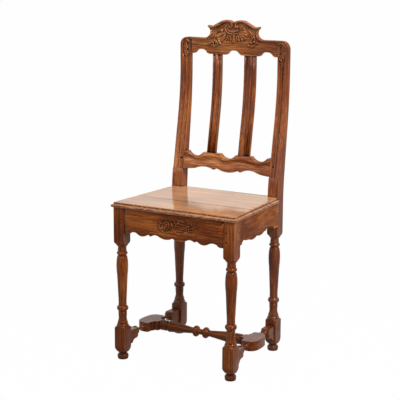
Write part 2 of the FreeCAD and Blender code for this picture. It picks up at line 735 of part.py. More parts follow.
def slat_spans():
    left = rear_half_length * left_slat_centre_share
    right = rear_half_length * right_slat_centre_share
    return {
        "LeftSlat": (left - left_slat_width / 2, left + left_slat_width / 2),
        "RightSlat": (right - right_slat_width / 2, right + right_slat_width / 2),
    }


def lower_back_rail():
    body = new_body("lower_back_rail", 0, rear_leg_y)
    past = lower_rail_height
    prism(body, "Pad", "Board", "YZ_Plane", (-rear_half_length, rear_half_length),
          [leaning_band(lower_rail_low, lower_rail_top, as_size(0), lower_rail_thickness)])
    low_edge = scaled(rail_low_shares, rear_half_length, lower_rail_height, 0, lower_rail_low)
    below = [(-rear_half_length - overrun, lower_rail_low)] + low_edge
    below = below + [(rear_half_length + overrun, low_edge[-1][1]),
                     (rear_half_length + overrun, lower_rail_low - past),
                     (-rear_half_length - overrun, lower_rail_low - past)]
    through = (-half_leg - overrun, half_leg + back_setback)
    prism(body, "Pocket", "LowerEdge", "XZ_Plane", through, [below])
    prism(body, "Pocket", "UpperDips", "XZ_Plane", through, [rail_dip(share) for share in rail_dip_shares])
    past = rear_half_length + overrun
    prism(body, "Pocket", "UpperHollow", "YZ_Plane", (-past, past), [rail_hollow()])
    reach = rear_half_length + tenon_length
    for name, side in (("LeftTenon", -1), ("RightTenon", 1)):
        prism(body, "Pad", name, "YZ_Plane", ((rear_half_length - overrun) * side, reach * side),
              [leaning_tenon(as_size(0))])
    hole = rear_half_length + peg_inset
    prism(body, "Pocket", "PegHoles", "XZ_Plane", lower_peg_span(overrun),
          circles=[(place, lower_peg_height(), hole_size()) for place in (-hole, hole)])
    for name, span in slat_spans().items():
        depth = slat_tenon_length + mortise_relief
        prism(body, "Pocket", name + "Mortise", "YZ_Plane", grown(span, joint_clearance),
              [leaning_band(lower_rail_top - depth, lower_rail_top + overrun,
                            tenon_face_setback - joint_clearance,
                            tenon_face_setback + back_tenon_thickness + joint_clearance)])
    return body


# The hollow along the rail's upper half, cut square to its leaning face
def rail_hollow():
    rows = []
    for (depth_share, height_share, *bulge) in rail_hollow_shares:
        height = lower_rail_low + lower_rail_height * height_share
        rows.append((lean_at(height) + rail_hollow_depth * depth_share, height, *bulge))
    return rows + [(lean_at(lower_rail_top) - overrun, lower_rail_top)]


def rail_dip(centre_share):
    centre = rear_half_length * centre_share
    half = rear_half_length * (rail_dip_width_share / 2)
    above = lower_rail_top + overrun
    return [(centre - half, above), (centre - half, lower_rail_top),
            (centre + half, lower_rail_top, rail_dip_bulge_share), (centre + half, above)]


def slat(label, name, table):
    body = new_body(label, 0, rear_leg_y)
    near, far = slat_face_setback, slat_face_setback + slat_thickness
    tenon_near, tenon_far = tenon_face_setback, tenon_face_setback + back_tenon_thickness
    foot = lower_rail_top - slat_tenon_length
    head = crest_low + slat_tenon_length
    sides = []
    for face, tenon_face in ((near, tenon_near), (far, tenon_far)):
        sides.append([
            (lean_at(foot) + tenon_face, foot), (lean_at(lower_rail_top) + tenon_face, lower_rail_top),
            (lean_at(lower_rail_top) + face, lower_rail_top)] + face_run(face) + [
            (crest_face + face, crest_low), (crest_face + tenon_face, crest_low),
            (crest_face + tenon_face, head)])
    span = slat_spans()[name]
    prism(body, "Pad", "Board", "YZ_Plane", span, [sides[0] + reversed_run(sides[1])])
    low = lower_rail_top - overrun
    moulding(body, "SlatMoulding", table, span[0], span[1] - span[0], slat_moulding_depth,
             (lean_at(low) + near, low), face_run(near) + [(crest_face + near, crest_low + overrun)])
    return body


# Seat of two boards, grain from side to side, joined ahead of the middle
seat_joint_share = 0.33


def seat_side(behind):
    front_half = front_leg_spread / 2 + half_leg + seat_front_overhang
    rear_half = rear_leg_spread / 2 + half_leg + seat_side_overhang
    nose = leg_depth / 2 + half_leg + seat_overhang
    depth = side_half_length + nose
    return front_half - (front_half - rear_half) * ((behind + nose) / depth)


def seat_board(label, front_board):
    body = new_body(label, 0, chair_shift)
    nose = -leg_depth / 2 - half_leg - seat_overhang
    joint = nose + leg_depth * seat_joint_share
    rear = side_half_length + seat_rear_reach
    levels = (("Nose", as_size(0), seat_underside, seat_nose_thickness),
              ("Top", seat_top_inset, seat_underside + seat_nose_thickness, seat_top_thickness))
    for name, inset, low, thickness in levels:
        if front_board:
            right = [(seat_side(nose + inset) - inset, nose + inset), (seat_side(joint) - inset, joint)]
        else:
            right = [(seat_side(joint) - inset, joint),
                     (seat_side(side_half_length) - inset, side_half_length),
                     (rear_half_length, side_half_length), (rear_half_length, rear - inset)]
        left = [(-row[0], row[1]) for row in reversed(right)]
        prism(body, "Pad", name, "XY_Plane", (low, low + thickness), [right + left])
        if name == "Nose":
            round_edges(body, "NoseRounding", lambda edge: is_outer_edge(edge, joint), seat_nose_radius)
    round_edges(body, "TopRounding", lambda edge: is_outer_edge(edge, joint) and is_top_edge(edge),
                seat_top_radius)
    prism(body, "Pocket", "PegHoles", "XY_Plane", (seat_underside - overrun, seat_height + overrun),
          circles=[(across, behind, hole_size()) for (across, behind) in seat_peg_places()
                   if (behind.value < joint.value) == front_board])
    return body


def is_outer_edge(edge, joint):
    first, last = edge.Vertexes[0].Point, edge.Vertexes[-1].Point
    level = abs(first.z - last.z) < same_place
    at_nose = abs(first.y - last.y) < same_place and first.y < joint.value - same_place
    at_side = abs(first.y - last.y) > leg_width.value
    return level and (at_nose or at_side)


def is_top_edge(edge):
    return abs(edge.Vertexes[0].Point.z - seat_height.value) < same_place


seat_front_peg_shares = [-0.55, 0.55]
seat_side_peg_shares = [-0.2, 0.72]


# Pegs through the seat: two into the front apron, two into each side apron
def seat_peg_places():
    front = -leg_depth / 2 - half_leg + apron_thickness / 2
    places = [(front_half_length * share, front) for share in seat_front_peg_shares]
    for side in (-1, 1):
        for share in seat_side_peg_shares:
            behind = side_half_length * share
            places.append(((side_face(behind) - apron_thickness / 2) * side, behind))
    return places


# H stretcher
def side_stretcher(label, side):
    body = new_body(label, mean_half_spread * side, chair_shift, stretcher_height, side_angle * side)
    face = side_half_length / side_cosine
    block_end = face - stretcher_block_length
    half_block = centre_block_length / 2
    span = half_block - block_end
    rear_half = scaled(side_turning_shares, bulb_diameter, span, 0, block_end)
    core = bulb_diameter * side_turning_shares[0][0]
    run = [(0, -block_end - overrun), (core, -block_end - overrun)]
    front_half = [(row[0], -row[1], -row[2] if len(row) > 2 else 0) for row in rear_half]
    run = run + front_half + reversed_run(rear_half)
    run = run + [(core, block_end + overrun), (0, block_end + overrun)]
    turn(body, "Revolution", "Turning", "XY_Plane", "V_Axis", run)
    for name, inward in (("Front", -1), ("Rear", 1)):
        stretcher_end(body, name, side, inward, face, block_end)
    low = centre_block_height * centre_block_low_share
    prism(body, "Pad", "CentreBlock", "XY_Plane", (low, low + centre_block_height),
          [centre_block_plan(side, half_block)])
    swing = side_angle * (-side)
    prism(body, "Pocket", "CrossMortise", "YZ_Plane",
          (-(lug_reach + overrun) * side, -(lug_reach - cross_tenon_length - mortise_relief) * side),
          circles=[(0, 0, cross_tenon_diameter + joint_clearance * 2)], swing=swing)
    hole = side_half_length + peg_inset
    prism(body, "Pocket", "PegHoles", "YZ_Plane", (-leg_width, leg_width),
          circles=[(-hole, 0, hole_size()), (hole, 0, hole_size())], swing=swing)
    return body


def stretcher_end(body, name, side, inward, face, block_end):
    half = stretcher_block_width / 2
    outline = scaled(stretcher_end_shares, stretcher_block_length, stretcher_block_height, block_end)
    outline = outline + [(face + overrun, outline[-1][1]), (face + overrun, outline[0][1])]
    outline = [(row[0] * inward, row[1], (row[2] if len(row) > 2 else 0) * inward) for row in outline]
    prism(body, "Pad", name + "Block", "YZ_Plane", (-half, half), [outline])
    wide = half + overrun
    slant = side_slope * (-side)
    trim = [(-wide, face * inward - wide * slant), (wide, face * inward + wide * slant),
            (wide, (face + tenon_length) * inward), (-wide, (face + tenon_length) * inward)]
    prism(body, "Pocket", name + "Shoulder", "XY_Plane",
          (-stretcher_block_height, stretcher_block_height), [trim])
    half_tenon = tenon_thickness / 2
    along = ((face - overrun) * inward, (face + tenon_length) * inward)
    prism(body, "Pad", name + "Tenon", "XY_Plane", stretcher_tenon_span,
          [rectangle((-half_tenon, half_tenon), along)])


def centre_block_plan(side, half_block):
    edge = stretcher_block_width * centre_block_edge_share
    lug_half = centre_block_length * centre_block_lug_share
    (first, first_along, bulge), (second, second_along, bulge) = centre_block_scallop_shares
    along, end_bulge, bow_bulge = centre_block_bow_shares
    rows = [
        (edge, -half_block), (centre_block_reach, -half_block * along, end_bulge),
        (centre_block_reach, half_block * along, bow_bulge), (edge, half_block, end_bulge),
        (-edge, half_block), (-edge * first, half_block * first_along, bulge),
        (-edge * second, half_block * second_along, bulge),
        (-lug_reach + lug_half * side_slope, lug_half), (-lug_reach - lug_half * side_slope, -lug_half),
        (-edge * second, -half_block * second_along),
        (-edge * first, -half_block * first_along, bulge), (-edge, -half_block, bulge),
    ]
    return [(row[0] * side, row[1], (row[2] if len(row) > 2 else 0) * side) for row in rows]


def cross_half_length():
    return mean_half_spread - lug_reach * side_cosine


def cross_stretcher():
    body = new_body("cross_stretcher", 0, chair_shift, stretcher_height)
    half = cross_half_length()
    right = scaled(cross_turning_shares, half, cross_diameter)
    pin = cross_tenon_diameter / 2
    right = right + [(half, pin), (half + cross_tenon_length, pin), (half + cross_tenon_length, 0)]
    turn(body, "Revolution", "Turning", "XZ_Plane", "H_Axis", mirrored_run(right)[:-1] + right[1:])
    return body


# Pegs, one node for each kind of joint
def peg(label, axis, x, y, z, length):
    item = doc.addObject("Part::Cylinder", label)
    turns = {"X": FreeCAD.Rotation(FreeCAD.Vector(0, 1, 0), 90),
             "-X": FreeCAD.Rotation(FreeCAD.Vector(0, 1, 0), -90),
             "Y": FreeCAD.Rotation(FreeCAD.Vector(1, 0, 0), -90),
             "-Y": FreeCAD.Rotation(FreeCAD.Vector(1, 0, 0), 90),
             "-Z": FreeCAD.Rotation(FreeCAD.Vector(1, 0, 0), 180)}
    item.Placement.Rotation = turns[axis]
    for path, measure in (("Placement.Base.x", x), ("Placement.Base.y", y), ("Placement.Base.z", z),
                          ("Radius", peg_diameter / 2), ("Height", length)):
        bind(item, path, as_size(measure))
    return item


def peg_group(label, places, length):
    group = doc.addObject("Part::Compound", label)
    group.Label = label
    group.Links = [peg("%sPeg%d" % (label.title().replace("_", ""), number), *place, length)
                   for number, place in enumerate(places)]
    return group


def all_pegs():
    front, side_pegs, rear, crest, lower, stretchers = [], [], [], [], [], []
    for side in (-1, 1):
        along_x = "X" if side < 0 else "-X"
        front_x = (front_half_length + peg_inset) * side
        rear_x = (rear_half_length + peg_inset) * side
        for height in peg_heights(apron_tenon_height):
            front.append(("Y", front_x, front_leg_y - half_leg, height))
        for height in peg_heights(rear_tenon_height):
            rear.append(("-Y", rear_x, rear_leg_y + half_leg, height))
        for height in peg_heights(crest_tenon_height):
            crest.append(("Y", rear_x, rear_leg_y + crest_face + stile_moulding_depth, height))
        low_face = rear_leg_y + lean_at(lower_peg_height()) + stile_moulding_depth
        lower.append(("Y", rear_x, low_face, lower_peg_height()))
        for spread, leg_y, inward in ((front_leg_spread, front_leg_y, 1), (rear_leg_spread, rear_leg_y, -1)):
            outer = (spread / 2 + half_leg) * side
            beside = leg_y + (half_leg - peg_inset) * inward
            for height in peg_heights(apron_tenon_height):
                side_pegs.append((along_x, outer, beside, height))
            stretchers.append((along_x, outer, beside, stretcher_height))
    crest_length = half_leg + back_setback - crest_face - stile_moulding_depth
    seat = [("-Z", across, chair_shift + behind, seat_height) for (across, behind) in seat_peg_places()]
    return [
        peg_group("front_apron_pegs", front, peg_length), peg_group("side_apron_pegs", side_pegs, peg_length),
        peg_group("rear_apron_pegs", rear, peg_length), peg_group("crest_rail_pegs", crest, crest_length),
        peg_group("lower_rail_pegs", lower, peg_length - stile_moulding_depth),
        peg_group("stretcher_pegs", stretchers, peg_length),
        peg_group("seat_pegs", seat, seat_nose_thickness + seat_top_thickness),
    ]


def build():
    return [
        front_leg("front_leg_left", -1), front_leg("front_leg_right", 1),
        rear_leg("rear_leg_left", -1), rear_leg("rear_leg_right", 1),
        front_apron(), side_apron("left_side_apron", -1), side_apron("right_side_apron", 1), rear_apron(),
        seat_board("seat_board_front", True), seat_board("seat_board_rear", False),
        crest_rail(), lower_back_rail(),
        slat("left_slat", "LeftSlat", left_slat_shares), slat("right_slat", "RightSlat", right_slat_shares),
        side_stretcher("left_side_stretcher", -1), side_stretcher("right_side_stretcher", 1),
        cross_stretcher(),
    ] + all_pegs()


# Each cutting feature has to take material away and each pad has to add some
def check_features(body):
    volume = 0
    for feature in body.Group:
        if not feature.isDerivedFrom("PartDesign::Feature"):
            continue
        after = feature.Shape.Volume
        cuts = feature.TypeId.split("::")[1] in ("Pocket", "Groove", "Fillet", "SubtractivePipe")
        if (cuts and after >= volume) or (not cuts and after <= volume):
            raise RuntimeError("%s %s changes nothing" % (body.Label, feature.Name))
        volume = after


def check(pieces):
    for item in doc.Objects:
        if "Invalid" in item.State or "Error" in item.State:
            raise RuntimeError("%s is %s" % (item.Name, item.State))
    for piece in pieces:
        if piece.Shape.isNull() or not piece.Shape.isValid():
            raise RuntimeError("%s has no valid shape" % piece.Label)
        if piece.isDerivedFrom("PartDesign::Body"):
            check_features(piece)


pieces = build()
doc.recompute()
check(pieces)
for piece in pieces:
    piece.Shape.exportStep("parts/%s.step" % piece.Label)
    print(piece.Label, len(piece.Shape.Solids), round(piece.Shape.Volume))
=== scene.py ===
import math
import bmesh
import bpy
import numpy
from mathutils import Matrix, Vector
from mathutils.bvhtree import BVHTree
from mathutils.geometry import delaunay_2d_cdt


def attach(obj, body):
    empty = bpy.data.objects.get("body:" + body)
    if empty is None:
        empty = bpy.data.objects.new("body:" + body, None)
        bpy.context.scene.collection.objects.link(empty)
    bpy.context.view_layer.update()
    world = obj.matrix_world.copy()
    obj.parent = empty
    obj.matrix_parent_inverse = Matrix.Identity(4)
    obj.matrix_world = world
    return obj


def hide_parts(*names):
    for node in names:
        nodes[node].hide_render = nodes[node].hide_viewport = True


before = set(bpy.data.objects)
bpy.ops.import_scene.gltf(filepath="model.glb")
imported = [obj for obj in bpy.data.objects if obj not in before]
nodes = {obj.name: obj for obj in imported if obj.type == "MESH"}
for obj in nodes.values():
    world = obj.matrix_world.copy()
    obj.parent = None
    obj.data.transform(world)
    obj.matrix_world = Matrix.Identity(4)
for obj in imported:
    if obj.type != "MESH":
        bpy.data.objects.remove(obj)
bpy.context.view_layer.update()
millimetre = 0.001


# Colours and nodes

def linearColour(hexValue):
    channels = [int(hexValue[place:place + 2], 16) / 255 for place in (1, 3, 5)]
    bent = [c / 12.92 if c <= 0.04045 else ((c + 0.055) / 1.055) ** 2.4 for c in channels]
    return (*bent, 1.0)


# An input is a value, or another node's output to be joined to it
def addNode(tree, kind, settings=None, inputs=None):
    node = tree.nodes.new(kind)
    for key, value in (settings or {}).items():
        setattr(node, key, value)
    for key, value in (inputs or {}).items():
        if isinstance(value, bpy.types.NodeSocket):
            tree.links.new(value, node.inputs[key])
        else:
            node.inputs[key].default_value = value
    return node


def newMaterial(name):
    material = bpy.data.materials.new(name)
    material.use_nodes = True
    material.node_tree.nodes.clear()
    return material, material.node_tree


# Waxed oak: brown with age, open pores drawn out along the grain, dark wax and painted shade in the
# hollows, darker low down and on the feet, and paler on the arrises, worn by hands and clothes and with a
# painted highlight. Widths, reaches and heights are millimetres. A range is what a layer fades over, a share
# is how much it covers
waxedOak = {
    "deep": "#421909", "mid": "#743615", "light": "#A46029", "hollow": "#1C0A04", "wornAndHighlit": "#C48650",
    "grainWidth": 1.7, "grainStretch": 26,
    "grainPattern": {"Scale": 0.5, "Detail": 6, "Roughness": 0.62, "Distortion": 0.35},
    "poreWidth": 0.6, "poreStretch": 30, "porePattern": {"Scale": 0.7, "Detail": 3, "Roughness": 0.55},
    "mottleWidth": 48, "mottleStretch": 2, "mottlePattern": {"Scale": 0.6, "Detail": 3, "Roughness": 0.5},
    "mottleShare": 0.42, "toneStops": (0.38, 0.5, 0.63),
    "poreRange": (0.36, 0.48), "poreShare": 0.85,
    "wornAndHighlitReach": 1.8, "wornAndHighlitRange": (0.35, 0.85), "wornAndHighlitShare": 0.5,
    "lowRange": (90, 470), "lowShare": 0.52, "footRange": (34, 40), "footShare": 0.5,
    "hollowReach": 11, "hollowRange": (0.42, 0.98), "hollowShare": 0.92, "reachSamples": 8,
    "roughness": 0.22, "roughRange": (0.3, 0.7), "roughRise": 0.08, "roughFall": 0.05,
    "sheen": 0.34, "sheenTint": "#E8B08A", "index": 1.5, "coat": 0.0, "coatRoughness": 0.1,
    "bloomRoughness": 0.4, "relief": 0.22, "reliefDepth": 0.6, "poreRelief": 0.5,
}


# Marks of use on the seat: dirt along the joint of its boards and along a check near the back, and a
# chipped, weathered edge, painted darker on its steep faces as shade, with pale flecks of worn wood and
# painted highlight and dark flecks of wax. Places and sizes are millimetres, and the edge's range is the
# upward part of the surface's normal
seatUse = {
    "jointPlace": -67, "jointWidth": 3.6, "jointShare": 0.85,
    "checkPlace": 128, "checkWidth": 4, "checkShare": 0.6,
    "bend": 7, "bendPattern": {"Scale": 14, "Detail": 2}, "edgeRange": (0.25, 0.75),
    "fleckLength": 9, "fleckHeight": 2.4, "fleckPattern": {"Scale": 1.0, "Detail": 4, "Roughness": 0.65},
    "nose": "#6A3014", "noseShare": 0.7, "pale": "#C79C7C", "paleRange": (0.52, 0.6), "paleShare": 0.6,
    "dark": "#3A1B12", "darkRange": (0.46, 0.38), "darkShare": 0.9,
    "dullRoughness": 0.35, "dullSheen": 0.7,
}


def markSeat(tree, spec, place, rough):
    # The noise is a half on average, so the middle of each line moves by half the bend
    wander = addNode(tree, "ShaderNodeTexNoise", inputs={
        "Vector": place, **seatUse["bendPattern"]}).outputs[0]
    depth = addNode(tree, "ShaderNodeSeparateXYZ", inputs={"Vector": place}).outputs["Y"]
    bent = addNode(tree, "ShaderNodeMath", {"operation": "MULTIPLY_ADD"}, {
        0: wander, 1: seatUse["bend"] * millimetre, 2: depth}).outputs[0]
    lines = []
    for key in ("joint", "check"):
        middle = (seatUse[key + "Place"] + seatUse["bend"] / 2) * millimetre
        width = seatUse[key + "Width"] * millimetre
        off = addNode(tree, "ShaderNodeMath", {"operation": "SUBTRACT"}, {0: bent, 1: middle}).outputs[0]
        off = addNode(tree, "ShaderNodeMath", {"operation": "ABSOLUTE"}, {0: off}).outputs[0]
        lines.append(addNode(tree, "ShaderNodeMapRange", inputs={
            "Value": off, "From Min": width / 2, "From Max": width,
            "To Min": seatUse[key + "Share"], "To Max": 0.0}).outputs[0])
    dirt = addNode(tree, "ShaderNodeMath", {"operation": "MAXIMUM"}, {0: lines[0], 1: lines[1]}).outputs[0]

    # The steep faces of the edge are painted darker, as shade
    normal = addNode(tree, "ShaderNodeNewGeometry").outputs["Normal"]
    upward = addNode(tree, "ShaderNodeSeparateXYZ", inputs={"Vector": normal}).outputs["Z"]
    upward = addNode(tree, "ShaderNodeMath", {"operation": "ABSOLUTE"}, {0: upward}).outputs[0]
    steep, flat = seatUse["edgeRange"]
    edge = addNode(tree, "ShaderNodeMapRange", inputs={
        "Value": upward, "From Min": steep, "From Max": flat, "To Min": 1.0, "To Max": 0.0}).outputs[0]
    long, tall = 1 / (seatUse["fleckLength"] * millimetre), 1 / (seatUse["fleckHeight"] * millimetre)
    drawn = addNode(tree, "ShaderNodeMapping", inputs={
        "Vector": place, "Scale": (long, long, tall)}).outputs[0]
    flecks = addNode(tree, "ShaderNodeTexNoise", inputs={
        "Vector": drawn, **seatUse["fleckPattern"]}).outputs[0]
    shares = {"nose": seatUse["noseShare"]}
    # Pale flecks are worn wood with a painted highlight, dark flecks are dark wax
    for tone in ("pale", "dark"):
        start, full = seatUse[tone + "Range"]
        shares[tone] = addNode(tree, "ShaderNodeMapRange", inputs={
            "Value": flecks, "From Min": start, "From Max": full,
            "To Max": seatUse[tone + "Share"]}).outputs[0]
    layers = [(dirt, waxedOak["hollow"])]
    for tone, share in shares.items():
        mask = addNode(tree, "ShaderNodeMath", {"operation": "MULTIPLY"}, {0: edge, 1: share}).outputs[0]
        layers.append((mask, seatUse[tone]))

    # Dirt and the worn edge have lost their polish
    dull = addNode(tree, "ShaderNodeMath", {"operation": "MAXIMUM"}, {0: dirt, 1: edge}).outputs[0]
    finish = {}
    for socket, change, whole in (
            ("Roughness", seatUse["dullRoughness"], rough),
            ("Specular IOR Level", -seatUse["dullSheen"] * spec["sheen"], spec["sheen"]),
            ("Sheen Weight", -spec["bloom"], spec["bloom"])):
        finish[socket] = addNode(tree, "ShaderNodeMath", {"operation": "MULTIPLY_ADD"}, {
            0: dull, 1: change, 2: whole}).outputs[0]
    return layers, finish


def makeOak(name, grainAxis, shift=(0, 0, 0), changes=None, seatMarks=False):
    spec = {**waxedOak, **(changes or {})}
    material, tree = newMaterial(name)
    place = addNode(tree, "ShaderNodeTexCoord").outputs["Object"]
    height = addNode(tree, "ShaderNodeSeparateXYZ", inputs={"Vector": place}).outputs["Z"]

    patterns = {}
    for key in ("grain", "pore", "mottle"):
        across = 1 / (spec[key + "Width"] * millimetre)
        scale = [across, across, across]
        scale["XYZ".index(grainAxis)] = across / spec[key + "Stretch"]
        drawn = addNode(tree, "ShaderNodeMapping", inputs={
            "Vector": place, "Scale": scale, "Location": shift}).outputs[0]
        patterns[key] = addNode(tree, "ShaderNodeTexNoise", inputs={
            "Vector": drawn, **spec[key + "Pattern"]}).outputs[0]

    shaded = addNode(tree, "ShaderNodeMath", {"operation": "MULTIPLY"}, {
        0: patterns["mottle"], 1: spec["mottleShare"]}).outputs[0]
    tone = addNode(tree, "ShaderNodeMath", {"operation": "MULTIPLY_ADD"}, {
        0: patterns["grain"], 1: 1 - spec["mottleShare"], 2: shaded}).outputs[0]
    ramp = addNode(tree, "ShaderNodeValToRGB", inputs={"Fac": tone})
    stops = ramp.color_ramp.elements
    stops.new(spec["toneStops"][1])
    for stop, position, key in zip(stops, spec["toneStops"], ("deep", "mid", "light")):
        stop.position = position
        stop.color = linearColour(spec[key])

    # Pale arrises are worn wood with a painted highlight, and dark hollows are dark wax with painted shade
    arris = addNode(tree, "ShaderNodeAmbientOcclusion", {
        "samples": spec["reachSamples"], "inside": True, "only_local": True}, {
        "Distance": spec["wornAndHighlitReach"] * millimetre}).outputs["AO"]
    hollow = addNode(tree, "ShaderNodeAmbientOcclusion", {"samples": spec["reachSamples"]}, {
        "Distance": spec["hollowReach"] * millimetre}).outputs["AO"]
    wornAndHighlitShare = spec["wornAndHighlitShare"]
    if "wornAndHighlitFrom" in spec:
        start, full = [limit * millimetre for limit in spec["wornAndHighlitFrom"]]
        wornAndHighlitShare = addNode(tree, "ShaderNodeMapRange", inputs={
            "Value": height, "From Min": start, "From Max": full, "To Max": wornAndHighlitShare}).outputs[0]
    # Darker towards the bottom, and darker still on the feet
    lowRange = [limit * millimetre for limit in spec["lowRange"]]
    footRange = [limit * millimetre for limit in spec["footRange"]]
    layers = []
    for value, (full, end), share, shade in (
            (patterns["pore"], spec["poreRange"], spec["poreShare"], "deep"),
            (arris, spec["wornAndHighlitRange"], wornAndHighlitShare, "wornAndHighlit"),
            (height, lowRange, spec["lowShare"], "deep"), (height, footRange, spec["footShare"], "deep"),
            (hollow, spec["hollowRange"], spec["hollowShare"], "hollow")):
        mask = addNode(tree, "ShaderNodeMapRange", inputs={
            "Value": value, "From Min": full, "From Max": end, "To Min": share, "To Max": 0.0}).outputs[0]
        layers.append((mask, spec[shade]))

    dark, pale = spec["roughRange"]
    rough = addNode(tree, "ShaderNodeMapRange", inputs={
        "Value": patterns["mottle"], "From Min": dark, "From Max": pale,
        "To Min": spec["roughness"] + spec["roughRise"],
        "To Max": spec["roughness"] - spec["roughFall"]}).outputs[0]
    finish = {"Roughness": rough, "Specular IOR Level": spec["sheen"]}
    if seatMarks:
        marks, finish = markSeat(tree, spec, place, rough)
        layers += marks
    colour = ramp.outputs[0]
    for mask, shade in layers:
        colour = addNode(tree, "ShaderNodeMix", {"data_type": "RGBA"}, {
            "Factor": mask, "A": colour, "B": linearColour(shade)}).outputs["Result"]
    rise = addNode(tree, "ShaderNodeMath", {"operation": "MULTIPLY_ADD"}, {
        0: patterns["pore"], 1: spec["poreRelief"], 2: patterns["grain"]}).outputs[0]
    bump = addNode(tree, "ShaderNodeBump", inputs={
        "Strength": spec["relief"], "Distance": spec["reliefDepth"] * millimetre, "Height": rise}).outputs[0]
    tint = linearColour(spec["sheenTint"])
    shader = addNode(tree, "ShaderNodeBsdfPrincipled", inputs={
        "Base Color": colour, "IOR": spec["index"], "Specular Tint": tint, "Coat Weight": spec["coat"],
        "Coat Roughness": spec["coatRoughness"], "Coat Tint": tint, "Sheen Roughness": spec["bloomRoughness"],
        "Sheen Tint": tint, "Normal": bump, **finish})
    addNode(tree, "ShaderNodeOutputMaterial", inputs={"Surface": shader.outputs[0]})
    return material


oakUpright = makeOak("waxedOakUpright", "Z")
oakAcross = makeOak("waxedOakAcross", "X", (3, 1, 2))
oakDeep = makeOak("waxedOakFrontToBack", "Y", (5, 2, 7))
# The side aprons are duller, and are painted paler as painted light, since the light slides along them; they
# are not darker low down
oakSidePaintedLit = makeOak("waxedOakSidesPaintedLit", "Y", (5, 6, 7), changes={
    "deep": "#5A280E", "mid": "#8E4C20", "light": "#B87A3C",
    "roughness": 0.42, "sheen": 0.08, "lowShare": 0.0})
# The boards of the seat are polished by use, so that the slats show in them
oakSeat = makeOak("polishedOakSeat", "X", (9, 4, 1), changes={
    "deep": "#6A3E20", "mid": "#9A6233", "light": "#B88247", "roughness": 0.1, "sheen": 0.8,
    "sheenTint": "#FFE9CC", "coat": 0.16, "bloom": 0.36, "poreShare": 0.4, "grainWidth": 4, "hollowReach": 5,
    "relief": 0.07}, seatMarks=True)
# Carving holds more dark wax and painted shade in its hollows, and is paler on its ridges from wear and a
# painted highlight
carvedChanges = {"hollowReach": 4.5, "wornAndHighlitShare": 0.7, "wornAndHighlit": "#C88850"}
oakCarved = makeOak("carvedOak", "X", (3, 1, 2), changes=carvedChanges)
# The back is handled more, so it is glossier. The crest and the lower rail are also given a paler tone as
# painted light, where they catch more light
handledAndLit = {"mid": "#84461D", "light": "#BA7A40", "roughness": 0.31, "sheen": 0.5, "sheenTint": "#F6D2BC"}
oakCrest = makeOak("carvedOakCrest", "X", (6, 1, 4), changes={
    **carvedChanges, **handledAndLit, "wornAndHighlitFrom": (914, 917)})
oakStile = makeOak("carvedOakUpright", "Z", changes={
    **carvedChanges, **handledAndLit, "mid": waxedOak["mid"], "light": waxedOak["light"], "hollowReach": 6})
oakRail = makeOak("handledAndLitOakAcross", "X", (1, 7, 5), changes=handledAndLit)
# The pegs show their dark end grain
oakPeg = makeOak("oakPegEndGrain", "Y", (2, 8, 3), changes={
    "deep": "#241009", "mid": "#3A1C10", "light": "#4E2A19", "wornAndHighlitShare": 0.2})
print("materials made")


# Pieces. A copy of a node has its doubled corners merged, its flat faces joined and its arrises
# softened by wear. Gaps and wear are millimetres, angles are degrees
softened = {"mergeGap": 0.02, "tearGap": 0.2, "sliceGap": 0.001, "flatAngle": 0.4, "smoothAngle": 40,
            "wear": 0.7, "wearAngle": 38, "wearSteps": 2}


def mergedCopy(nodeName):
    shape = bmesh.new()
    shape.from_mesh(nodes[nodeName].data)
    bmesh.ops.remove_doubles(shape, verts=shape.verts, dist=softened["mergeGap"] * millimetre)
    bmesh.ops.dissolve_limit(shape, angle_limit=math.radians(softened["flatAngle"]), verts=shape.verts,
                             edges=shape.edges, delimit=set())
    return shape


def sliceShape(shape, place, normal):
    bmesh.ops.bisect_plane(shape, geom=shape.verts[:] + shape.edges[:] + shape.faces[:],
                           dist=softened["sliceGap"] * millimetre, plane_co=place, plane_no=normal)


def finishShape(shape, pieceName, material, nodeName, smoothAngle):
    mesh = bpy.data.meshes.new(pieceName)
    shape.to_mesh(mesh)
    shape.free()
    mesh.set_sharp_from_angle(angle=math.radians(smoothAngle))
    mesh.materials.append(material)
    piece = bpy.data.objects.new(pieceName, mesh)
    bpy.context.scene.collection.objects.link(piece)
    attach(piece, "root")
    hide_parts(nodeName)
    return piece


def wearArrises(piece, limit):
    bevel = piece.modifiers.new("worn", "BEVEL")
    bevel.width = softened["wear"] * millimetre
    bevel.segments = softened["wearSteps"]
    bevel.limit_method = limit
    return bevel


# Grooves that the turner cut beside the rings and above the foot: height, half width and depth in
# millimetres, each cut as a parabola through a few slices
legGrooves = {
    "front": [(18.2, 5, 2.4), (110.2, 2.6, 2.4), (148.2, 2.4, 1.4), (166.6, 2.2, 1.1), (320.0, 2.8, 2.0),
              (332.8, 2.0, 1.0)],
    "rear": [(18.2, 5, 2.4), (110.4, 2.6, 2.4), (150.6, 2.4, 1.4), (168.6, 2.2, 1.1), (326.4, 2.8, 2.0),
             (339.6, 2.0, 1.0)],
    "sliceShares": (-1, -0.65, -0.3, 0, 0.3, 0.65, 1), "floorGap": 0.1,
}


def turnGrooves(shape, grooves):
    foot = [corner.co.xy for corner in shape.verts if corner.co.z < legGrooves["floorGap"] * millimetre]
    centre = Vector([(min(place[k] for place in foot) + max(place[k] for place in foot)) / 2 for k in (0, 1)])
    for height, half, depth in grooves:
        for share in legGrooves["sliceShares"]:
            sliceShape(shape, (0, 0, (height + share * half) * millimetre), (0, 0, 1))
        for corner in shape.verts:
            off = (corner.co.z / millimetre - height) / half
            if abs(off) < 1:
                out = corner.co.xy - centre
                corner.co.xy = centre + out * (1 - depth * millimetre * (1 - off * off) / out.length)


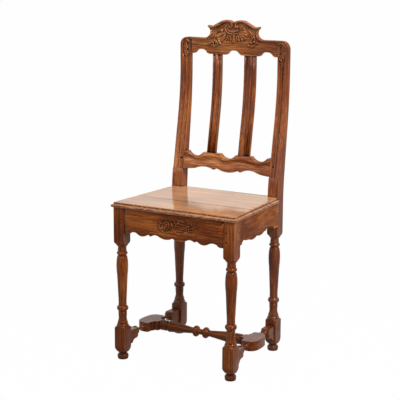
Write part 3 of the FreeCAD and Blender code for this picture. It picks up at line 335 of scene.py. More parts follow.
def dressNode(nodeName, pieceName, material, grooves=()):
    shape = mergedCopy(nodeName)
    if grooves:
        turnGrooves(shape, grooves)
    piece = finishShape(shape, pieceName, material, nodeName, softened["smoothAngle"])
    bevel = wearArrises(piece, "ANGLE")
    bevel.angle_limit = math.radians(softened["wearAngle"])
    bevel.harden_normals = True


dressNode("front_leg_left", "frontLegLeft", oakUpright, legGrooves["front"])
dressNode("front_leg_right", "frontLegRight", oakUpright, legGrooves["front"])
for nodeName, pieceName, material in (
        ("rear_apron", "rearApron", oakAcross),
        ("left_side_apron", "leftSideApron", oakSidePaintedLit), ("right_side_apron", "rightSideApron", oakSidePaintedLit),
        ("seat_board_front", "seatBoardFront", oakSeat), ("seat_board_rear", "seatBoardRear", oakSeat),
        ("left_side_stretcher", "leftSideStretcher", oakDeep),
        ("right_side_stretcher", "rightSideStretcher", oakDeep),
        ("cross_stretcher", "crossStretcher", oakAcross)):
    dressNode(nodeName, pieceName, material)

for nodeName in ("front_apron_pegs", "side_apron_pegs", "rear_apron_pegs", "crest_rail_pegs",
                 "lower_rail_pegs", "stretcher_pegs", "seat_pegs"):
    nodes[nodeName].data.materials.clear()
    nodes[nodeName].data.materials.append(oakPeg)
print("pieces dressed")


# Carving. Places are millimetres across and up, levels are millimetres in front of the face. A rib
# has a round back, a leaf also has a vein, a groove is cut into what is there and a sink lowers the
# ground. Each follows a smooth line and grows from a first width to a last
chisel = {
    "lineSteps": 7, "farAway": 1000.0, "leafRoot": 0.3, "leafSpan": 0.8, "leafStart": 0.14,
    "veinDepth": 0.9, "veinShare": 0.16, "veinWidth": 0.25, "veinFade": 3, "sinkSteepness": 2.5,
    "probeStart": 40, "probeLength": 55, "blurTurns": 2, "leastRun": 1e-9,
}


def smoothLine(points):
    places = numpy.array(points, float)
    if len(places) < 3:
        return places
    ends = numpy.vstack([2 * places[0] - places[1], places, 2 * places[-1] - places[-2]])
    line = []
    for before, start, end, after in zip(ends, ends[1:], ends[2:], ends[3:]):
        for step in range(chisel["lineSteps"]):
            t = step / chisel["lineSteps"]
            line.append(start + (end - before) * t / 2 + (before - 2.5 * start + 2 * end - after / 2) * t * t
                        + (1.5 * start - before / 2 - 1.5 * end + after / 2) * t ** 3)
    return numpy.array(line + [places[-1]])


def nearestOn(across, up, line):
    gap = numpy.full(across.shape, chisel["farAway"])
    along = numpy.zeros(across.shape)
    pieces = max(len(line) - 1, 1)
    for k in range(pieces):
        start, run = line[k], line[min(k + 1, len(line) - 1)] - line[k]
        t = ((across - start[0]) * run[0] + (up - start[1]) * run[1]) / max(run @ run, chisel["leastRun"])
        t = numpy.clip(t, 0, 1)
        here = numpy.hypot(across - start[0] - t * run[0], up - start[1] - t * run[1])
        closer = here < gap
        gap[closer] = here[closer]
        along[closer] = (k + t[closer]) / pieces
    return gap, along


def carveStrokes(across, up, ground, strokes):
    level = ground.copy()
    for kind, points, width, top in strokes:
        line = smoothLine(points)
        first, last = width if isinstance(width, tuple) else (width, width)
        reach = max(first, last)
        near = ((across > line[:, 0].min() - reach) & (across < line[:, 0].max() + reach)
                & (up > line[:, 1].min() - reach) & (up < line[:, 1].max() + reach))
        gap, along = nearestOn(across[near], up[near], line)
        radius = (first + (last - first) * along) / 2
        if kind == "leaf":
            swelling = numpy.clip(along * chisel["leafSpan"] + chisel["leafStart"], 0, 1)
            radius = radius * (chisel["leafRoot"] + (1 - chisel["leafRoot"]) * numpy.sin(numpy.pi * swelling))
        share = numpy.clip(1 - (gap / radius) ** 2, 0, None)
        here, below = level[near], ground[near]
        if kind == "groove":
            level[near] = here + top * share
        elif kind == "sink":
            sunk = here + (top - here) * numpy.clip(share * chisel["sinkSteepness"], 0, 1)
            level[near] = numpy.minimum(here, sunk)
            ground[near] = level[near]
        else:
            raised = below + (top - below) * numpy.sqrt(share)
            if kind == "leaf":
                vein = numpy.exp(-(gap / (chisel["veinShare"] * radius + chisel["veinWidth"])) ** 2)
                raised -= chisel["veinDepth"] * vein * numpy.clip(share * chisel["veinFade"], 0, 1)
            level[near] = numpy.where(share > 0, numpy.maximum(here, raised), here)
    return level


def groundUnder(tree, across, up, plane):
    ground = numpy.zeros(across.shape)
    for place, x in numpy.ndenumerate(across):
        start = Vector((x, plane[place] - chisel["probeStart"], up[place])) * millimetre
        hit = tree.ray_cast(start, Vector((0, 1, 0)), chisel["probeLength"] * millimetre)[0]
        ground[place] = numpy.nan if hit is None else plane[place] - hit.y / millimetre
    return ground


def blurred(ground):
    soft = numpy.where(numpy.isnan(ground), 0, ground)
    for turn in range(chisel["blurTurns"]):
        soft = numpy.pad(soft, 1, mode="edge")
        soft = (soft[:-2] + 2 * soft[1:-1] + soft[2:]) / 4
        soft = (soft[:, :-2] + 2 * soft[:, 1:-1] + soft[:, 2:]) / 4
    return soft


# What the carved faces share. A face stands at plane and leans back by lean for each millimetre up.
# What lies less than deepest behind it, above cutAt, is carved anew, on points gridStep apart, and
# its rim is rounded over. groundShare is how strongly the node's own moulding shows under the carving.
# Along the lower edge, below top and within half of the middle, runs a line or a cove
carvedFace = {
    "lean": 0, "cutAt": 0, "bores": [], "grooves": (), "gridStep": 0.8, "smoothAngle": 70,
    "round": 0.6, "roundReach": 1.8, "roundGrid": 1.6,
    "lowEdge": {"top": 0, "half": 0, "line": 0, "lineWidth": 1, "depth": 0, "reach": 0},
    "frontTilt": 0.3, "coarseStep": 6, "rimClear": 0.6, "rimGap": 0.01, "meetGap": 0.0001,
}


# Takes the front's faces away, and gives the rim that is left, as its edges and its corners in order
def openFront(shape, carving, faceAt):
    cut = carving["cutAt"]
    if cut:
        sliceShape(shape, (0, 0, cut * millimetre), (0, 0, 1))
    front = [face for face in shape.faces if face.normal.y < carving["frontTilt"]
             and all(corner.co.y < (faceAt(corner.co.z / millimetre) + carving["deepest"]) * millimetre
                     for corner in face.verts)
             and min(corner.co.z for corner in face.verts) > (cut - carving["rimGap"]) * millimetre]
    bmesh.ops.delete(shape, geom=front, context="FACES")
    rim = [edge for edge in shape.edges if edge.is_boundary]
    corners = list(dict.fromkeys(corner for edge in rim for corner in edge.verts))
    order = {corner: k for k, corner in enumerate(corners)}
    return rim, order


# Rounds the carving over at the rim and cuts the line or cove of the lower edge, and says how far each
# place is from the rim and from the lower edge
def finishEdges(across, up, level, flat, sides, carving):
    lowEdge = carving["lowEdge"]
    gap = numpy.full(across.shape, chisel["farAway"])
    lowGap = numpy.full(across.shape, chisel["farAway"])
    for start, end in sides:
        line = numpy.array([flat[start], flat[end]])
        here = nearestOn(across, up, line)[0]
        gap = numpy.minimum(gap, here)
        if line[:, 1].max() < lowEdge["top"] and abs(line[:, 0]).max() < lowEdge["half"]:
            lowGap = numpy.minimum(lowGap, here)
    if "cove" in lowEdge:
        level -= lowEdge["depth"] * numpy.clip(1 - (lowGap / lowEdge["cove"]) ** 2, 0, None)
    else:
        level -= lowEdge["depth"] * numpy.exp(-((lowGap - lowEdge["line"]) / lowEdge["lineWidth"]) ** 2)
    level -= carving["round"] * numpy.clip(1 - gap / carving["roundReach"], 0, 1) ** 2
    return gap, lowGap


# Lays triangles from the rim over the carved places, as points of across, up and level. The pegs'
# bores, of across, up and radius, stay open
def fillFront(shape, order, flat, sides, points, carving, faceAt):
    corners = list(order)
    places = [Vector(place) for place in flat] + [Vector(point[:2]) for point in points]
    onlyInside = 1
    places, _, triangles, sources, _, _ = delaunay_2d_cdt(places, sides, [], onlyInside, carving["meetGap"])
    made = {}
    for triangle in triangles:
        if any(all((places[k] - Vector((x, z))).length < radius for k in triangle)
               for x, z, radius in carving["bores"]):
            continue
        for k in triangle:
            source = sources[k][0] if sources[k] else None
            if k not in made and source is not None and source < len(corners):
                made[k] = corners[source]
            elif k not in made:
                height = 0 if source is None else points[source - len(corners)][2]
                x, z = places[k]
                made[k] = shape.verts.new(Vector((x, faceAt(z) - height, z)) * millimetre)
        shape.faces.new([made[k] for k in triangle])


def closeTears(shape):
    torn = dict.fromkeys(corner for edge in shape.edges if edge.is_boundary for corner in edge.verts)
    bmesh.ops.remove_doubles(shape, verts=list(torn), dist=softened["tearGap"] * millimetre)
    bmesh.ops.holes_fill(shape, edges=[edge for edge in shape.edges if edge.is_boundary], sides=0)
    stray = [face for face in shape.faces if all(edge.is_boundary for edge in face.edges)]
    bmesh.ops.delete(shape, geom=stray, context="FACES")
    for edge in [edge for edge in shape.edges if edge.is_boundary]:
        first, second = edge.verts
        near, far = ({other.other_vert(corner) for other in corner.link_edges if other.is_boundary}
                     for corner in edge.verts)
        for third in near & far:
            if not shape.faces.get((first, second, third)):
                shape.faces.new((first, second, third))
    bmesh.ops.recalc_face_normals(shape, faces=shape.faces)


# The arrises away from the carving are softened, through their weight
def weighArrises(shape, plainFaces, order):
    weight = shape.edges.layers.float.new("bevel_weight_edge")
    for arris in shape.edges:
        if (arris.is_manifold and all(face in plainFaces for face in arris.link_faces)
                and not any(corner in order for corner in arris.verts)
                and arris.calc_face_angle() > math.radians(softened["wearAngle"])):
            arris[weight] = 1


def carveFront(nodeName, pieceName, material, carving):
    shape = mergedCopy(nodeName)
    if carving["grooves"]:
        turnGrooves(shape, carving["grooves"])
    left, right, low, high = carving["window"]
    gridStep = carving["gridStep"]
    across, up = numpy.meshgrid(numpy.arange(left, right, gridStep), numpy.arange(low, high, gridStep))

    def faceAt(height):
        return carving["plane"] + carving["lean"] * (height - low)

    ground = groundUnder(BVHTree.FromBMesh(shape), across, up, faceAt(up))
    wood = ground > -carving["deepest"]
    level = carveStrokes(across, up, blurred(ground) * carving["groundShare"], carving["strokes"])
    rim, order = openFront(shape, carving, faceAt)
    flat = [(corner.co.x / millimetre, corner.co.z / millimetre) for corner in order]
    sides = [(order[edge.verts[0]], order[edge.verts[1]]) for edge in rim]
    gap, lowGap = finishEdges(across, up, level, flat, sides, carving)

    # Fine points where there is carving or an edge, and a coarse grid elsewhere
    lowEdge = carving["lowEdge"]
    fineLeft, fineRight, fineLow = carving["fine"]
    fine = ((across > fineLeft) & (across < fineRight) & (up > fineLow)) | (lowGap < lowEdge["reach"])
    fine |= gap < carving["roundGrid"] * carving["roundReach"]
    fine[::carving["coarseStep"], ::carving["coarseStep"]] = True
    kept = wood & fine & (gap > carving["rimClear"] * gridStep)
    points = list(zip(across[kept], up[kept], level[kept]))
    for corner, (x, z) in zip(order, flat):
        coved = "cove" in lowEdge and z < lowEdge["top"] and abs(x) < lowEdge["half"]
        corner.co.y += (carving["round"] + (lowEdge["depth"] if coved else 0)) * millimetre
    plainFaces = set(shape.faces)
    fillFront(shape, order, flat, sides, points, carving, faceAt)
    closeTears(shape)
    unclosed = sum(1 for edge in shape.edges if not edge.is_manifold)
    print(nodeName, "carved:", len(shape.faces), "faces,", unclosed, "edges unclosed")
    weighArrises(shape, plainFaces, order)
    piece = finishShape(shape, pieceName, material, nodeName, carving["smoothAngle"])
    wearArrises(piece, "WEIGHT")


# A pediment with a shell under two scrolled mouldings, leaves, and a spray of flowers each side
crestCarving = {
    **carvedFace, "plane": 168.95, "deepest": 2.5, "groundShare": 2.1, "window": (-150, 150, 891, 999),
    "fine": (-97, 97, 908), "lowEdge": {"top": 925, "half": 149.6, "cove": 7, "depth": 0.9, "reach": 9},
    "strokes": [
        ("sink", [(-78, 968.5), (-58, 970.5), (-43, 976), (-30, 984), (-17, 986.5), (-12, 983)], 7, -4.8),
        ("sink", [(82, 969), (66, 971), (53, 976), (40, 985), (26, 988), (15, 984)], 7, -4.8),
        ("sink", [(1, 986), (1, 970)], 9, -4.8),
        ("sink", [(-88, 920), (-76, 925), (-64, 924), (-52, 927), (-40, 925)], 25, -3.4),
        ("sink", [(48, 921), (58, 925), (68, 927), (80, 931)], 25, -3.4),
        ("sink", [(-62, 946), (-84, 938)], 16, -3.2),
        ("sink", [(-45, 944), (-20, 934), (0, 931), (20, 935), (42, 944)], 17, -3.6),
        ("leaf", [(-25.0, 956.5), (-31.9, 947.6), (-40.5, 934.2)], (9, 14), 0.4),
        ("leaf", [(-27.4, 958.4), (-39.7, 955.0), (-50.0, 949.8), (-55.0, 941.3)], (8, 11), -0.2),
        ("leaf", [(-17.3, 952.1), (-21.1, 942.6), (-24.3, 936.4)], (6, 8), 0.1),
        ("leaf", [(-43.0, 958.0), (-52.0, 951.0), (-66.0, 944.5)], (6, 8), -0.6),
        ("rib", [(-12.7, 951.0), (-14.9, 941.5), (-16.4, 935.8)], (3.4, 4.6), -0.2),
        ("rib", [(-8.1, 949.8), (-9.5, 940.4), (-9.9, 935.4)], (3.4, 4.6), -0.1),
        ("rib", [(1.1, 951.2), (1.2, 940.2), (0.3, 931.8)], (6.5, 10), 0.8),
        ("rib", [(9.5, 950.5), (12.3, 941.3), (12.9, 935.4)], (3.4, 4.6), -0.1),
        ("rib", [(15.6, 952.1), (18.6, 942.9), (20.6, 936.2)], (3.4, 5.2), -0.2),
        ("rib", [(22, 956), (31, 950), (34, 949)], 22, -1.2),
        ("rib", [(19.1, 955.9), (26.3, 946.3), (29.5, 939.9)], (6, 10), 0.5),
        ("rib", [(22.6, 957.8), (32.3, 950.5), (38.5, 944.6)], (7, 12), 0.8),
        ("rib", [(25.6, 960.5), (35.3, 957.0), (42.5, 953.0)], (7, 12), 0.8),
        ("rib", [(28.1, 963.2), (36.0, 963.0), (41.0, 962.0)], (6, 10), 0.5),
        ("leaf", [(31.7, 977.5), (36.3, 971.5), (41.0, 966.6)], (6, 9), 0.7),
        ("rib", [(29.5, 969.9), (35.8, 968.3), (41.1, 967.7)], (3, 4), 0.6),
        ("rib", [(-40.2, 964.0)], 13.5, 2.0),
        ("rib", [(-47.5, 965.0), (-56.0, 961.6), (-60.6, 954.5), (-60.1, 945.4)], (3.6, 2.6), -0.2),
        ("leaf", [(-50.4, 963.2), (-61.4, 956.8), (-69.1, 948.4), (-84.6, 937.7)], (5, 8), 0.3),
        ("rib", [(-62.8, 945.6), (-65.9, 935.4)], 2.6, -0.3),
        ("rib", [(-53.5, 943.3), (-47.2, 930.8)], 2.6, -0.3),
        ("rib", [(-84.0, 922.4), (-76.3, 929.9)], (9, 6.4), 1.0),
        ("rib", [(-50.0, 932.0), (-44.1, 925.4)], (5, 8.4), 0.9),
        ("rib", [(-64.3, 934.6), (-52.4, 925.2), (-62.6, 916.4), (-75.0, 922.9), (-64.3, 934.6)], 3.4, 0.7),
        ("rib", [(-68.6, 926.6)], 6, 0.3), ("rib", [(-59.8, 921.8)], 6, 0.3),
        ("rib", [(-60.2, 927.8)], 5.4, 0.1), ("rib", [(-67.9, 920.9)], 5.4, 0.1),
        ("groove", [(-64.2, 924.4)], 3.4, -1.4),
        ("rib", [(58.0, 951.1), (69.2, 955.5)], (3.4, 5.4), 0.3),
        ("rib", [(61.0, 954.0), (64.8, 945.4)], (3.4, 4.6), 0.3),
        ("rib", [(67.8, 944.9), (62.7, 939.4), (55.2, 932.8)], (3.0, 4.4), 0.1),
        ("rib", [(68.5, 953.0), (72.5, 944.0), (70.0, 936.0)], (2.6, 3.6), -0.2),
        ("rib", [(52.1, 922.3)], 8.6, 0.6), ("rib", [(63.0, 919.8)], 8.6, 0.9),
        ("rib", [(70.8, 923.0)], 7.6, 0.8), ("rib", [(80.6, 931.6), (76.4, 928.6)], (8, 6), 1.0),
        ("rib", [(59.6, 931.4)], 8, 0.9), ("rib", [(70.4, 934.2)], 7, 0.7),
        ("groove", [(66.6, 928.4)], 4.4, -1.6),
        ("rib", [(-75.5, 968.7), (-56.9, 970.7), (-43.0, 975.3), (-30.7, 982.4)], 3.2, -0.5),
        ("rib", [(81.6, 971.8), (66.7, 972.6), (53.1, 977.4), (42.4, 984.9)], 3.2, -0.5),
        ("rib", [(46.4, 976.5), (55.5, 965.5), (62.5, 956.5)], (3.2, 2.4), -0.6),
        ("rib", [(-26.0, 979.5), (-26.7, 969.2), (-19.7, 960.1), (-7.4, 955.9), (3.3, 955.6), (17.0, 958.8),
                 (26.0, 967.1), (26.6, 978.7)], 4.8, 1.8),
        ("rib", [(-20.2, 972.5), (-15.4, 965.8), (-5.9, 961.7), (4.8, 961.4), (15.4, 965.1),
                 (21.4, 971.5)], 3.2, 0.2),
        ("groove", [(-9.0, 968.4), (0.9, 966.8), (11.0, 968.8)], 6, -0.7),
        ("rib", [(-85.6, 973.9), (-63.1, 975.8), (-46.1, 983.8), (-30.8, 991.4), (-15.5, 993.2),
                 (-6.2, 989.0), (-4.4, 982.0), (-6.8, 976.2)], (8.4, 6.0), 2.2),
        ("rib", [(91.3, 975.6), (72.6, 977.4), (56.0, 983.4), (42.3, 991.2), (27.2, 994.0), (14.5, 991.6),
                 (8.2, 986.0), (7.0, 980.0), (9.4, 976.2)], (8.4, 6.0), 2.2),
        ("rib", [(-10.6, 976.0)], 10, 2.6), ("rib", [(12.6, 976.8)], 10, 2.6),
    ],
}

# A rose, a scrolled shell, leaves and a branch of buds in the middle of the front apron, and a line
# cut along its lower edge
apronCarving = {
    **carvedFace, "plane": -181.0, "deepest": 2.5, "groundShare": 1.0, "window": (-150, 150, 387, 466),
    "fine": (-52, 86, 404),
    "lowEdge": {"top": 424, "half": 149.6, "line": 3.3, "lineWidth": 1.3, "depth": 2.2, "reach": 6.5},
    "strokes": [
        ("sink", [(-40, 425), (-25, 429), (-5, 432), (12, 440), (30, 444)], 36, -3.4),
        ("sink", [(20, 424), (40, 430), (58, 429), (72, 436)], 28, -3.2),
        ("rib", [(-29.9, 409.6), (-12, 411), (9.2, 413.4)], (3.4, 2.6), 0.1),
        ("leaf", [(-24.8, 440.7), (-18.8, 446.6), (-9, 449)], (6, 8), 0.2),
        ("leaf", [(-14, 440), (-6, 446.5), (4, 450.7)], (5, 8), 0.1),
        ("leaf", [(-35.4, 432.9), (-26.3, 437.6), (-15.8, 440.1)], (6, 6), -0.2),
        ("rib", [(-41.4, 434.5), (-44.4, 426.6), (-39.9, 417.9), (-32.4, 412.9), (-24.9, 415.8)],
         (4.4, 3.2), 0.8),
        ("rib", [(-36.5, 429.0), (-36.5, 423.0), (-31.5, 418.6), (-26.0, 421.5), (-26.5, 427.5)], 3.2, 0.2),
        ("rib", [(-21.1, 418.0), (-17.3, 420.3), (-12.9, 427.1), (-13.8, 436.9)], (3.4, 4.0), 0.7),
        ("rib", [(-22, 433), (-19.5, 427), (-23, 422)], 3.0, 0.0),
        ("rib", [(-5.4, 437.5), (-0.9, 429.2), (-2.4, 419.5), (-9.9, 413.7), (-21, 411.5)], (4.4, 3), 0.8),
        ("rib", [(-8.5, 433.5), (-6.4, 426.0), (-9.5, 420.0)], 3.0, 0.2),
        ("leaf", [(1.2, 423.7), (1.1, 417.0), (-5.2, 412.8)], 5, -0.1),
        ("rib", [(6.2, 450.0)], 8, 0.5), ("rib", [(12.6, 452.6)], 8, 0.6), ("rib", [(18.8, 447.4)], 8, 0.6),
        ("rib", [(6.4, 442.7)], 8, 0.6), ("rib", [(17.5, 440.3)], 8, 0.5), ("rib", [(11.5, 437.9)], 8, 0.5),
        ("groove", [(12.3, 444.6)], 7, -1.5), ("rib", [(12.4, 444.8)], 4.2, 0.4),
        ("leaf", [(3.8, 431.3), (11, 431.0), (20.8, 434.5)], (6, 7), 0.8),
        ("leaf", [(21.5, 446.6), (28.5, 449.6), (39.6, 446.6)], (7, 8), 0.3),
        ("leaf", [(22.3, 438.0), (29.0, 439.2), (36.0, 437.0)], (5, 6), -0.3),
        ("leaf", [(18.3, 426.4), (30.2, 424.4), (40.8, 428.9)], (5, 6.5), 0.7),
        ("rib", [(38.0, 427.5), (47.1, 432.6), (55.0, 434.5)], 2.6, 0.1),
        ("rib", [(11.9, 420.6), (21.9, 418.8), (30.7, 420.4)], (2.4, 3.4), 0.0),
        ("rib", [(48.4, 434.9)], 6, 0.4), ("rib", [(55.1, 436.8)], 6.4, 0.6),
        ("rib", [(61.8, 440.5)], 6.4, 0.5),
        ("leaf", [(66.5, 441.7), (73.3, 448.6)], (6, 9), 0.6), ("rib", [(53.0, 428.9)], 6.4, 0.6),
        ("rib", [(60.0, 430.6)], 7, 0.8), ("rib", [(67.2, 432.6)], 6.4, 0.6),
        ("rib", [(60.6, 422.6)], 6, 0.5),
        ("rib", [(68.9, 425.6)], 6, 0.4), ("rib", [(54.0, 422.4)], 4.6, 0.1),
        ("groove", [(63.5, 426.8)], 3, -0.9), ("groove", [(57.0, 432.8)], 2.6, -0.8),
        ("groove", [(-3.7, 407.0), (14, 409.0), (26.9, 410.7), (35.4, 406.9)], 2.2, -0.7),
        ("groove", [(-84.0, 404.4)], 7, -1.5), ("groove", [(77.3, 405.6)], 7, -1.5),
        ("groove", [(-8.0, 400.6)], 6, -1.2),
    ],
}

# A hanging leaf in a hollow in each stile's head, under a small arch. The crest's pegs go in there
headPegs = {"across": 158.9, "heights": (903.06, 921.92), "radius": 3.6}
headCarving = {
    **carvedFace, "plane": 168.95, "deepest": 4.3, "groundShare": 1.0, "gridStep": 0.7, "cutAt": 872,
    "fine": (-200, 200, 800), "round": 0, "roundReach": 1, "grooves": legGrooves["rear"],
    "bores": [(side * headPegs["across"], height, headPegs["radius"])
              for side in (-1, 1) for height in headPegs["heights"]],
}
rightHead = {**headCarving, "window": (149, 186, 872, 942.5), "strokes": [
    ("sink", [(162.5, 886), (162.5, 924)], 25, -4.2),
    ("rib", [(151.8, 929.5), (160.9, 933.6), (170.0, 930.2), (175.6, 920.6)], 3.6, 0.5),
    ("leaf", [(164.0, 930.0), (165.0, 908.0), (162.5, 884.0)], (10, 12), -0.9),
    ("leaf", [(163.5, 927.0), (169.0, 921.0), (173.0, 911.5)], (6, 9), -0.4),
    ("leaf", [(164.0, 912.0), (169.0, 905.0), (172.0, 895.5)], (6, 9), -0.4),
    ("leaf", [(162.5, 899.0), (167.5, 892.5), (170.0, 885.0)], (6, 8), -0.6),
    ("leaf", [(162.5, 897.0), (157.5, 892.0), (154.5, 885.0)], (6, 8), -0.6),
    ("rib", [(152.8, 881.6), (157.2, 886.0), (163.8, 882.5), (162.2, 877.0), (158.0, 876.8)],
     (3.6, 4.8), 0.6),
]}
leftHead = {**headCarving, "window": (-186, -149, 872, 942.5), "strokes": [
    ("sink", [(-165, 890), (-164, 924)], 25, -4.2),
    ("rib", [(-176.5, 920.4), (-168.0, 930.4), (-159.7, 931.5), (-152.6, 926.4)], 3.6, 0.5),
    ("leaf", [(-166.5, 929.0), (-167.5, 905.0), (-167.0, 884.0)], (10, 12), -0.9),
    ("leaf", [(-166.0, 926.0), (-170.5, 918.0), (-173.0, 908.9)], (6, 8), -0.4),
    ("leaf", [(-167.0, 911.0), (-171.0, 902.0), (-172.5, 893.7)], (6, 8), -0.4),
    ("leaf", [(-166.5, 915.0), (-163.0, 908.0), (-162.6, 899.0)], (5, 7), -0.5),
    ("leaf", [(-166.0, 898.0), (-161.5, 892.0), (-159.5, 885.0)], (6, 8), -0.6),
    ("rib", [(-172.0, 885.2), (-166.9, 888.2), (-163.0, 884.0), (-165.6, 879.0)], (3.4, 4.2), 0.5),
]}

# The lower rail is hollow above and swells below, and follows the rake of the back
railCarving = {
    **carvedFace, "plane": 126.05, "lean": 0.18, "deepest": 2.6, "groundShare": 0.0, "gridStep": 0.9,
    "window": (-150, 150, 539, 594), "fine": (-200, 200, 500),
    "lowEdge": {"top": 600, "half": 147, "line": 3.6, "lineWidth": 1.2, "depth": 0.8, "reach": 6},
    "strokes": [
        ("groove", [(-150, 575), (-132, 574), (-108, 565), (-85, 567), (-62, 572), (-35, 572), (-12, 565),
                    (8, 564), (30, 570), (62, 572), (85, 567), (108, 563), (132, 569), (150, 572)], 22, -3.9),
        ("groove", [(-150, 545), (-110, 547), (-75, 548.5), (-45, 545), (0, 543), (45, 547), (80, 547.5),
                    (120, 543), (150, 543)], 5, -0.7),
        ("groove", [(-58, 549), (-40, 544)], 4, -1.0), ("groove", [(36, 549), (52, 544)], 4, -1.0),
    ],
}

carveFront("crest_rail", "crestRail", oakCrest, crestCarving)
carveFront("front_apron", "frontApron", oakCarved, apronCarving)
carveFront("lower_back_rail", "lowerBackRail", oakRail, railCarving)
carveFront("rear_leg_left", "rearLegLeft", oakStile, leftHead)
carveFront("rear_leg_right", "rearLegRight", oakStile, rightHead)


# Each slat's own moulding, run from end to end but for its ends in the rails. A profile holds shares
# of the width and how many millimetres in the wood goes there
slatMoulding = {
    "columns": 40, "plainEnds": 12, "frontTilt": -0.3, "smoothAngle": 60,
    "left_slat": [(0, 1.2), (0.06, 0.2), (0.12, 0.4), (0.22, 2.6), (0.32, 0.6), (0.42, 0), (0.52, 0.5),
                  (0.66, 2.6), (0.8, 0.8), (0.86, 2.0), (0.93, 0.2), (1, 1.2)],
    "right_slat": [(0, 1.2), (0.05, 0.1), (0.11, 0.2), (0.16, 1.9), (0.21, 0.4), (0.26, 0), (0.7, 0),
                   (0.75, 1.9), (0.8, 0.2), (0.85, 0.1), (0.9, 1.9), (0.95, 0.2), (1, 1.2)],
}


def mouldSlat(nodeName, pieceName):
    shape = mergedCopy(nodeName)
    left, right = min(corner.co.x for corner in shape.verts), max(corner.co.x for corner in shape.verts)
    columns = slatMoulding["columns"]
    for column in range(1, columns):
        sliceShape(shape, (left + (right - left) * column / columns, 0, 0), (1, 0, 0))
    shares, depths = zip(*slatMoulding[nodeName])
    plainEnds = slatMoulding["plainEnds"] * millimetre
    low = min(corner.co.z for corner in shape.verts) + plainEnds
    high = max(corner.co.z for corner in shape.verts) - plainEnds
    front = dict.fromkeys(corner for face in shape.faces if face.normal.y < slatMoulding["frontTilt"]
                          for corner in face.verts if low < corner.co.z < high)
    for corner in front:
        share = (corner.co.x - left) / (right - left)
        corner.co.y += float(numpy.interp(share, shares, depths)) * millimetre
    finishShape(shape, pieceName, oakStile, nodeName, slatMoulding["smoothAngle"])


mouldSlat("left_slat", "leftSlat")
mouldSlat("right_slat", "rightSlat")
print("carving done")


# Studio: pale floor, soft lamps, white seen behind and in the polish. The floor glows only for the
# camera and in the polish, and throws the light of a matt floor on the chair
studio = {
    "floorSize": 90, "floorColour": "#A8A8A8", "floorGlow": 0.988, "floorShine": 0.4, "skyForLight": 0.36,
    "keyPower": 102, "keyPlace": (2.3, -1.0, 2.4), "keySize": 0.9,
    "fillPower": 19, "fillPlace": (-1.5, -2.4, 1.9), "fillSize": 1.4,
    "topPower": 38, "topPlace": (0.1, -0.3, 2.8), "topSize": 1.2, "lampAim": (0, 0, 0.45),
}


# One where the camera looks or a ray has gone through glass, and shine where it has been reflected
def whiteForView(tree, shine=1.0):
    path = addNode(tree, "ShaderNodeLightPath").outputs
    polished = addNode(tree, "ShaderNodeMath", {"operation": "MULTIPLY"}, {
        0: path["Is Glossy Ray"], 1: shine}).outputs[0]
    either = addNode(tree, "ShaderNodeMath", {"operation": "MAXIMUM"}, {
        0: path["Is Camera Ray"], 1: polished}).outputs[0]
    return addNode(tree, "ShaderNodeMath", {"operation": "MAXIMUM"}, {
        0: either, 1: path["Is Transmission Ray"]}).outputs[0]


def makeFloor():
    shape = bmesh.new()
    bmesh.ops.create_grid(shape, x_segments=1, y_segments=1, size=studio["floorSize"] / 2)
    mesh = bpy.data.meshes.new("floor")
    shape.to_mesh(mesh)
    shape.free()
    floor = bpy.data.objects.new("floor", mesh)
    bpy.context.scene.collection.objects.link(floor)
    material, tree = newMaterial("paleStudioFloor")
    matt = addNode(tree, "ShaderNodeBsdfDiffuse", inputs={"Color": linearColour(studio["floorColour"])})
    glow = addNode(tree, "ShaderNodeEmission", inputs={"Color": linearColour("#FFFFFF"), "Strength": 1.0})
    share = addNode(tree, "ShaderNodeMath", {"operation": "MULTIPLY"}, {
        0: whiteForView(tree, studio["floorShine"]), 1: studio["floorGlow"]}).outputs[0]
    mixed = addNode(tree, "ShaderNodeMixShader", inputs={0: share, 1: matt.outputs[0], 2: glow.outputs[0]})
    addNode(tree, "ShaderNodeOutputMaterial", inputs={"Surface": mixed.outputs[0]})
    mesh.materials.append(material)


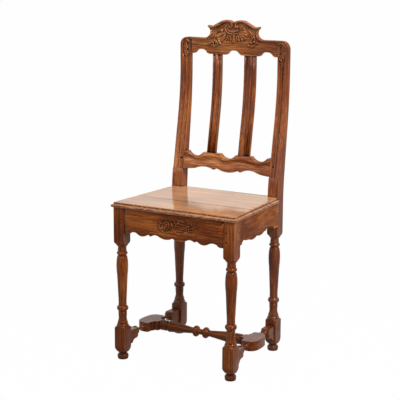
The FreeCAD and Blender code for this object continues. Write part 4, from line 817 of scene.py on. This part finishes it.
def makeSky():
    world = bpy.data.worlds.new("studio")
    bpy.context.scene.world = world
    world.use_nodes = True
    tree = world.node_tree
    tree.nodes.clear()
    strength = addNode(tree, "ShaderNodeMapRange", inputs={
        "Value": whiteForView(tree), "To Min": studio["skyForLight"], "To Max": 1.0}).outputs[0]
    sky = addNode(tree, "ShaderNodeBackground", inputs={
        "Color": linearColour("#FFFFFF"), "Strength": strength})
    addNode(tree, "ShaderNodeOutputWorld", inputs={"Surface": sky.outputs[0]})


def makeLamp(name):
    lamp = bpy.data.lights.new(name, "AREA")
    lamp.energy = studio[name + "Power"]
    lamp.size = studio[name + "Size"]
    holder = bpy.data.objects.new(name, lamp)
    holder.location = studio[name + "Place"]
    toChair = Vector(studio["lampAim"]) - Vector(studio[name + "Place"])
    holder.rotation_euler = toChair.to_track_quat("-Z", "Y").to_euler()
    bpy.context.scene.collection.objects.link(holder)


makeFloor()
makeSky()
for lampName in ("key", "fill", "top"):
    makeLamp(lampName)
print("studio lit")


# Camera, fitted to the photograph: angles in degrees, places and distance in metres, and the lens
# and its sensor in millimetres
photoView = {"aim": (-0.0063, -0.013, 0.4778), "azimuth": 30.08, "elevation": 11.75, "roll": 0.28,
             "distance": 3.579, "lens": 108.72, "sensor": 36, "clipEnd": 100}


def makeCamera():
    turn, lift = math.radians(photoView["azimuth"]), math.radians(photoView["elevation"])
    back = Vector((math.sin(turn) * math.cos(lift), -math.cos(turn) * math.cos(lift), math.sin(lift)))
    lens = bpy.data.cameras.new("photoCamera")
    lens.lens = photoView["lens"]
    lens.sensor_width = photoView["sensor"]
    lens.clip_end = photoView["clipEnd"]
    holder = bpy.data.objects.new("photoCamera", lens)
    holder.location = Vector(photoView["aim"]) + back * photoView["distance"]
    level = (-back).to_track_quat("-Z", "Y").to_matrix().to_4x4()
    holder.rotation_euler = (level @ Matrix.Rotation(math.radians(photoView["roll"]), 4, "Z")).to_euler()
    bpy.context.scene.collection.objects.link(holder)
    bpy.context.scene.camera = holder


makeCamera()
bpy.context.scene.view_settings.view_transform = "Standard"
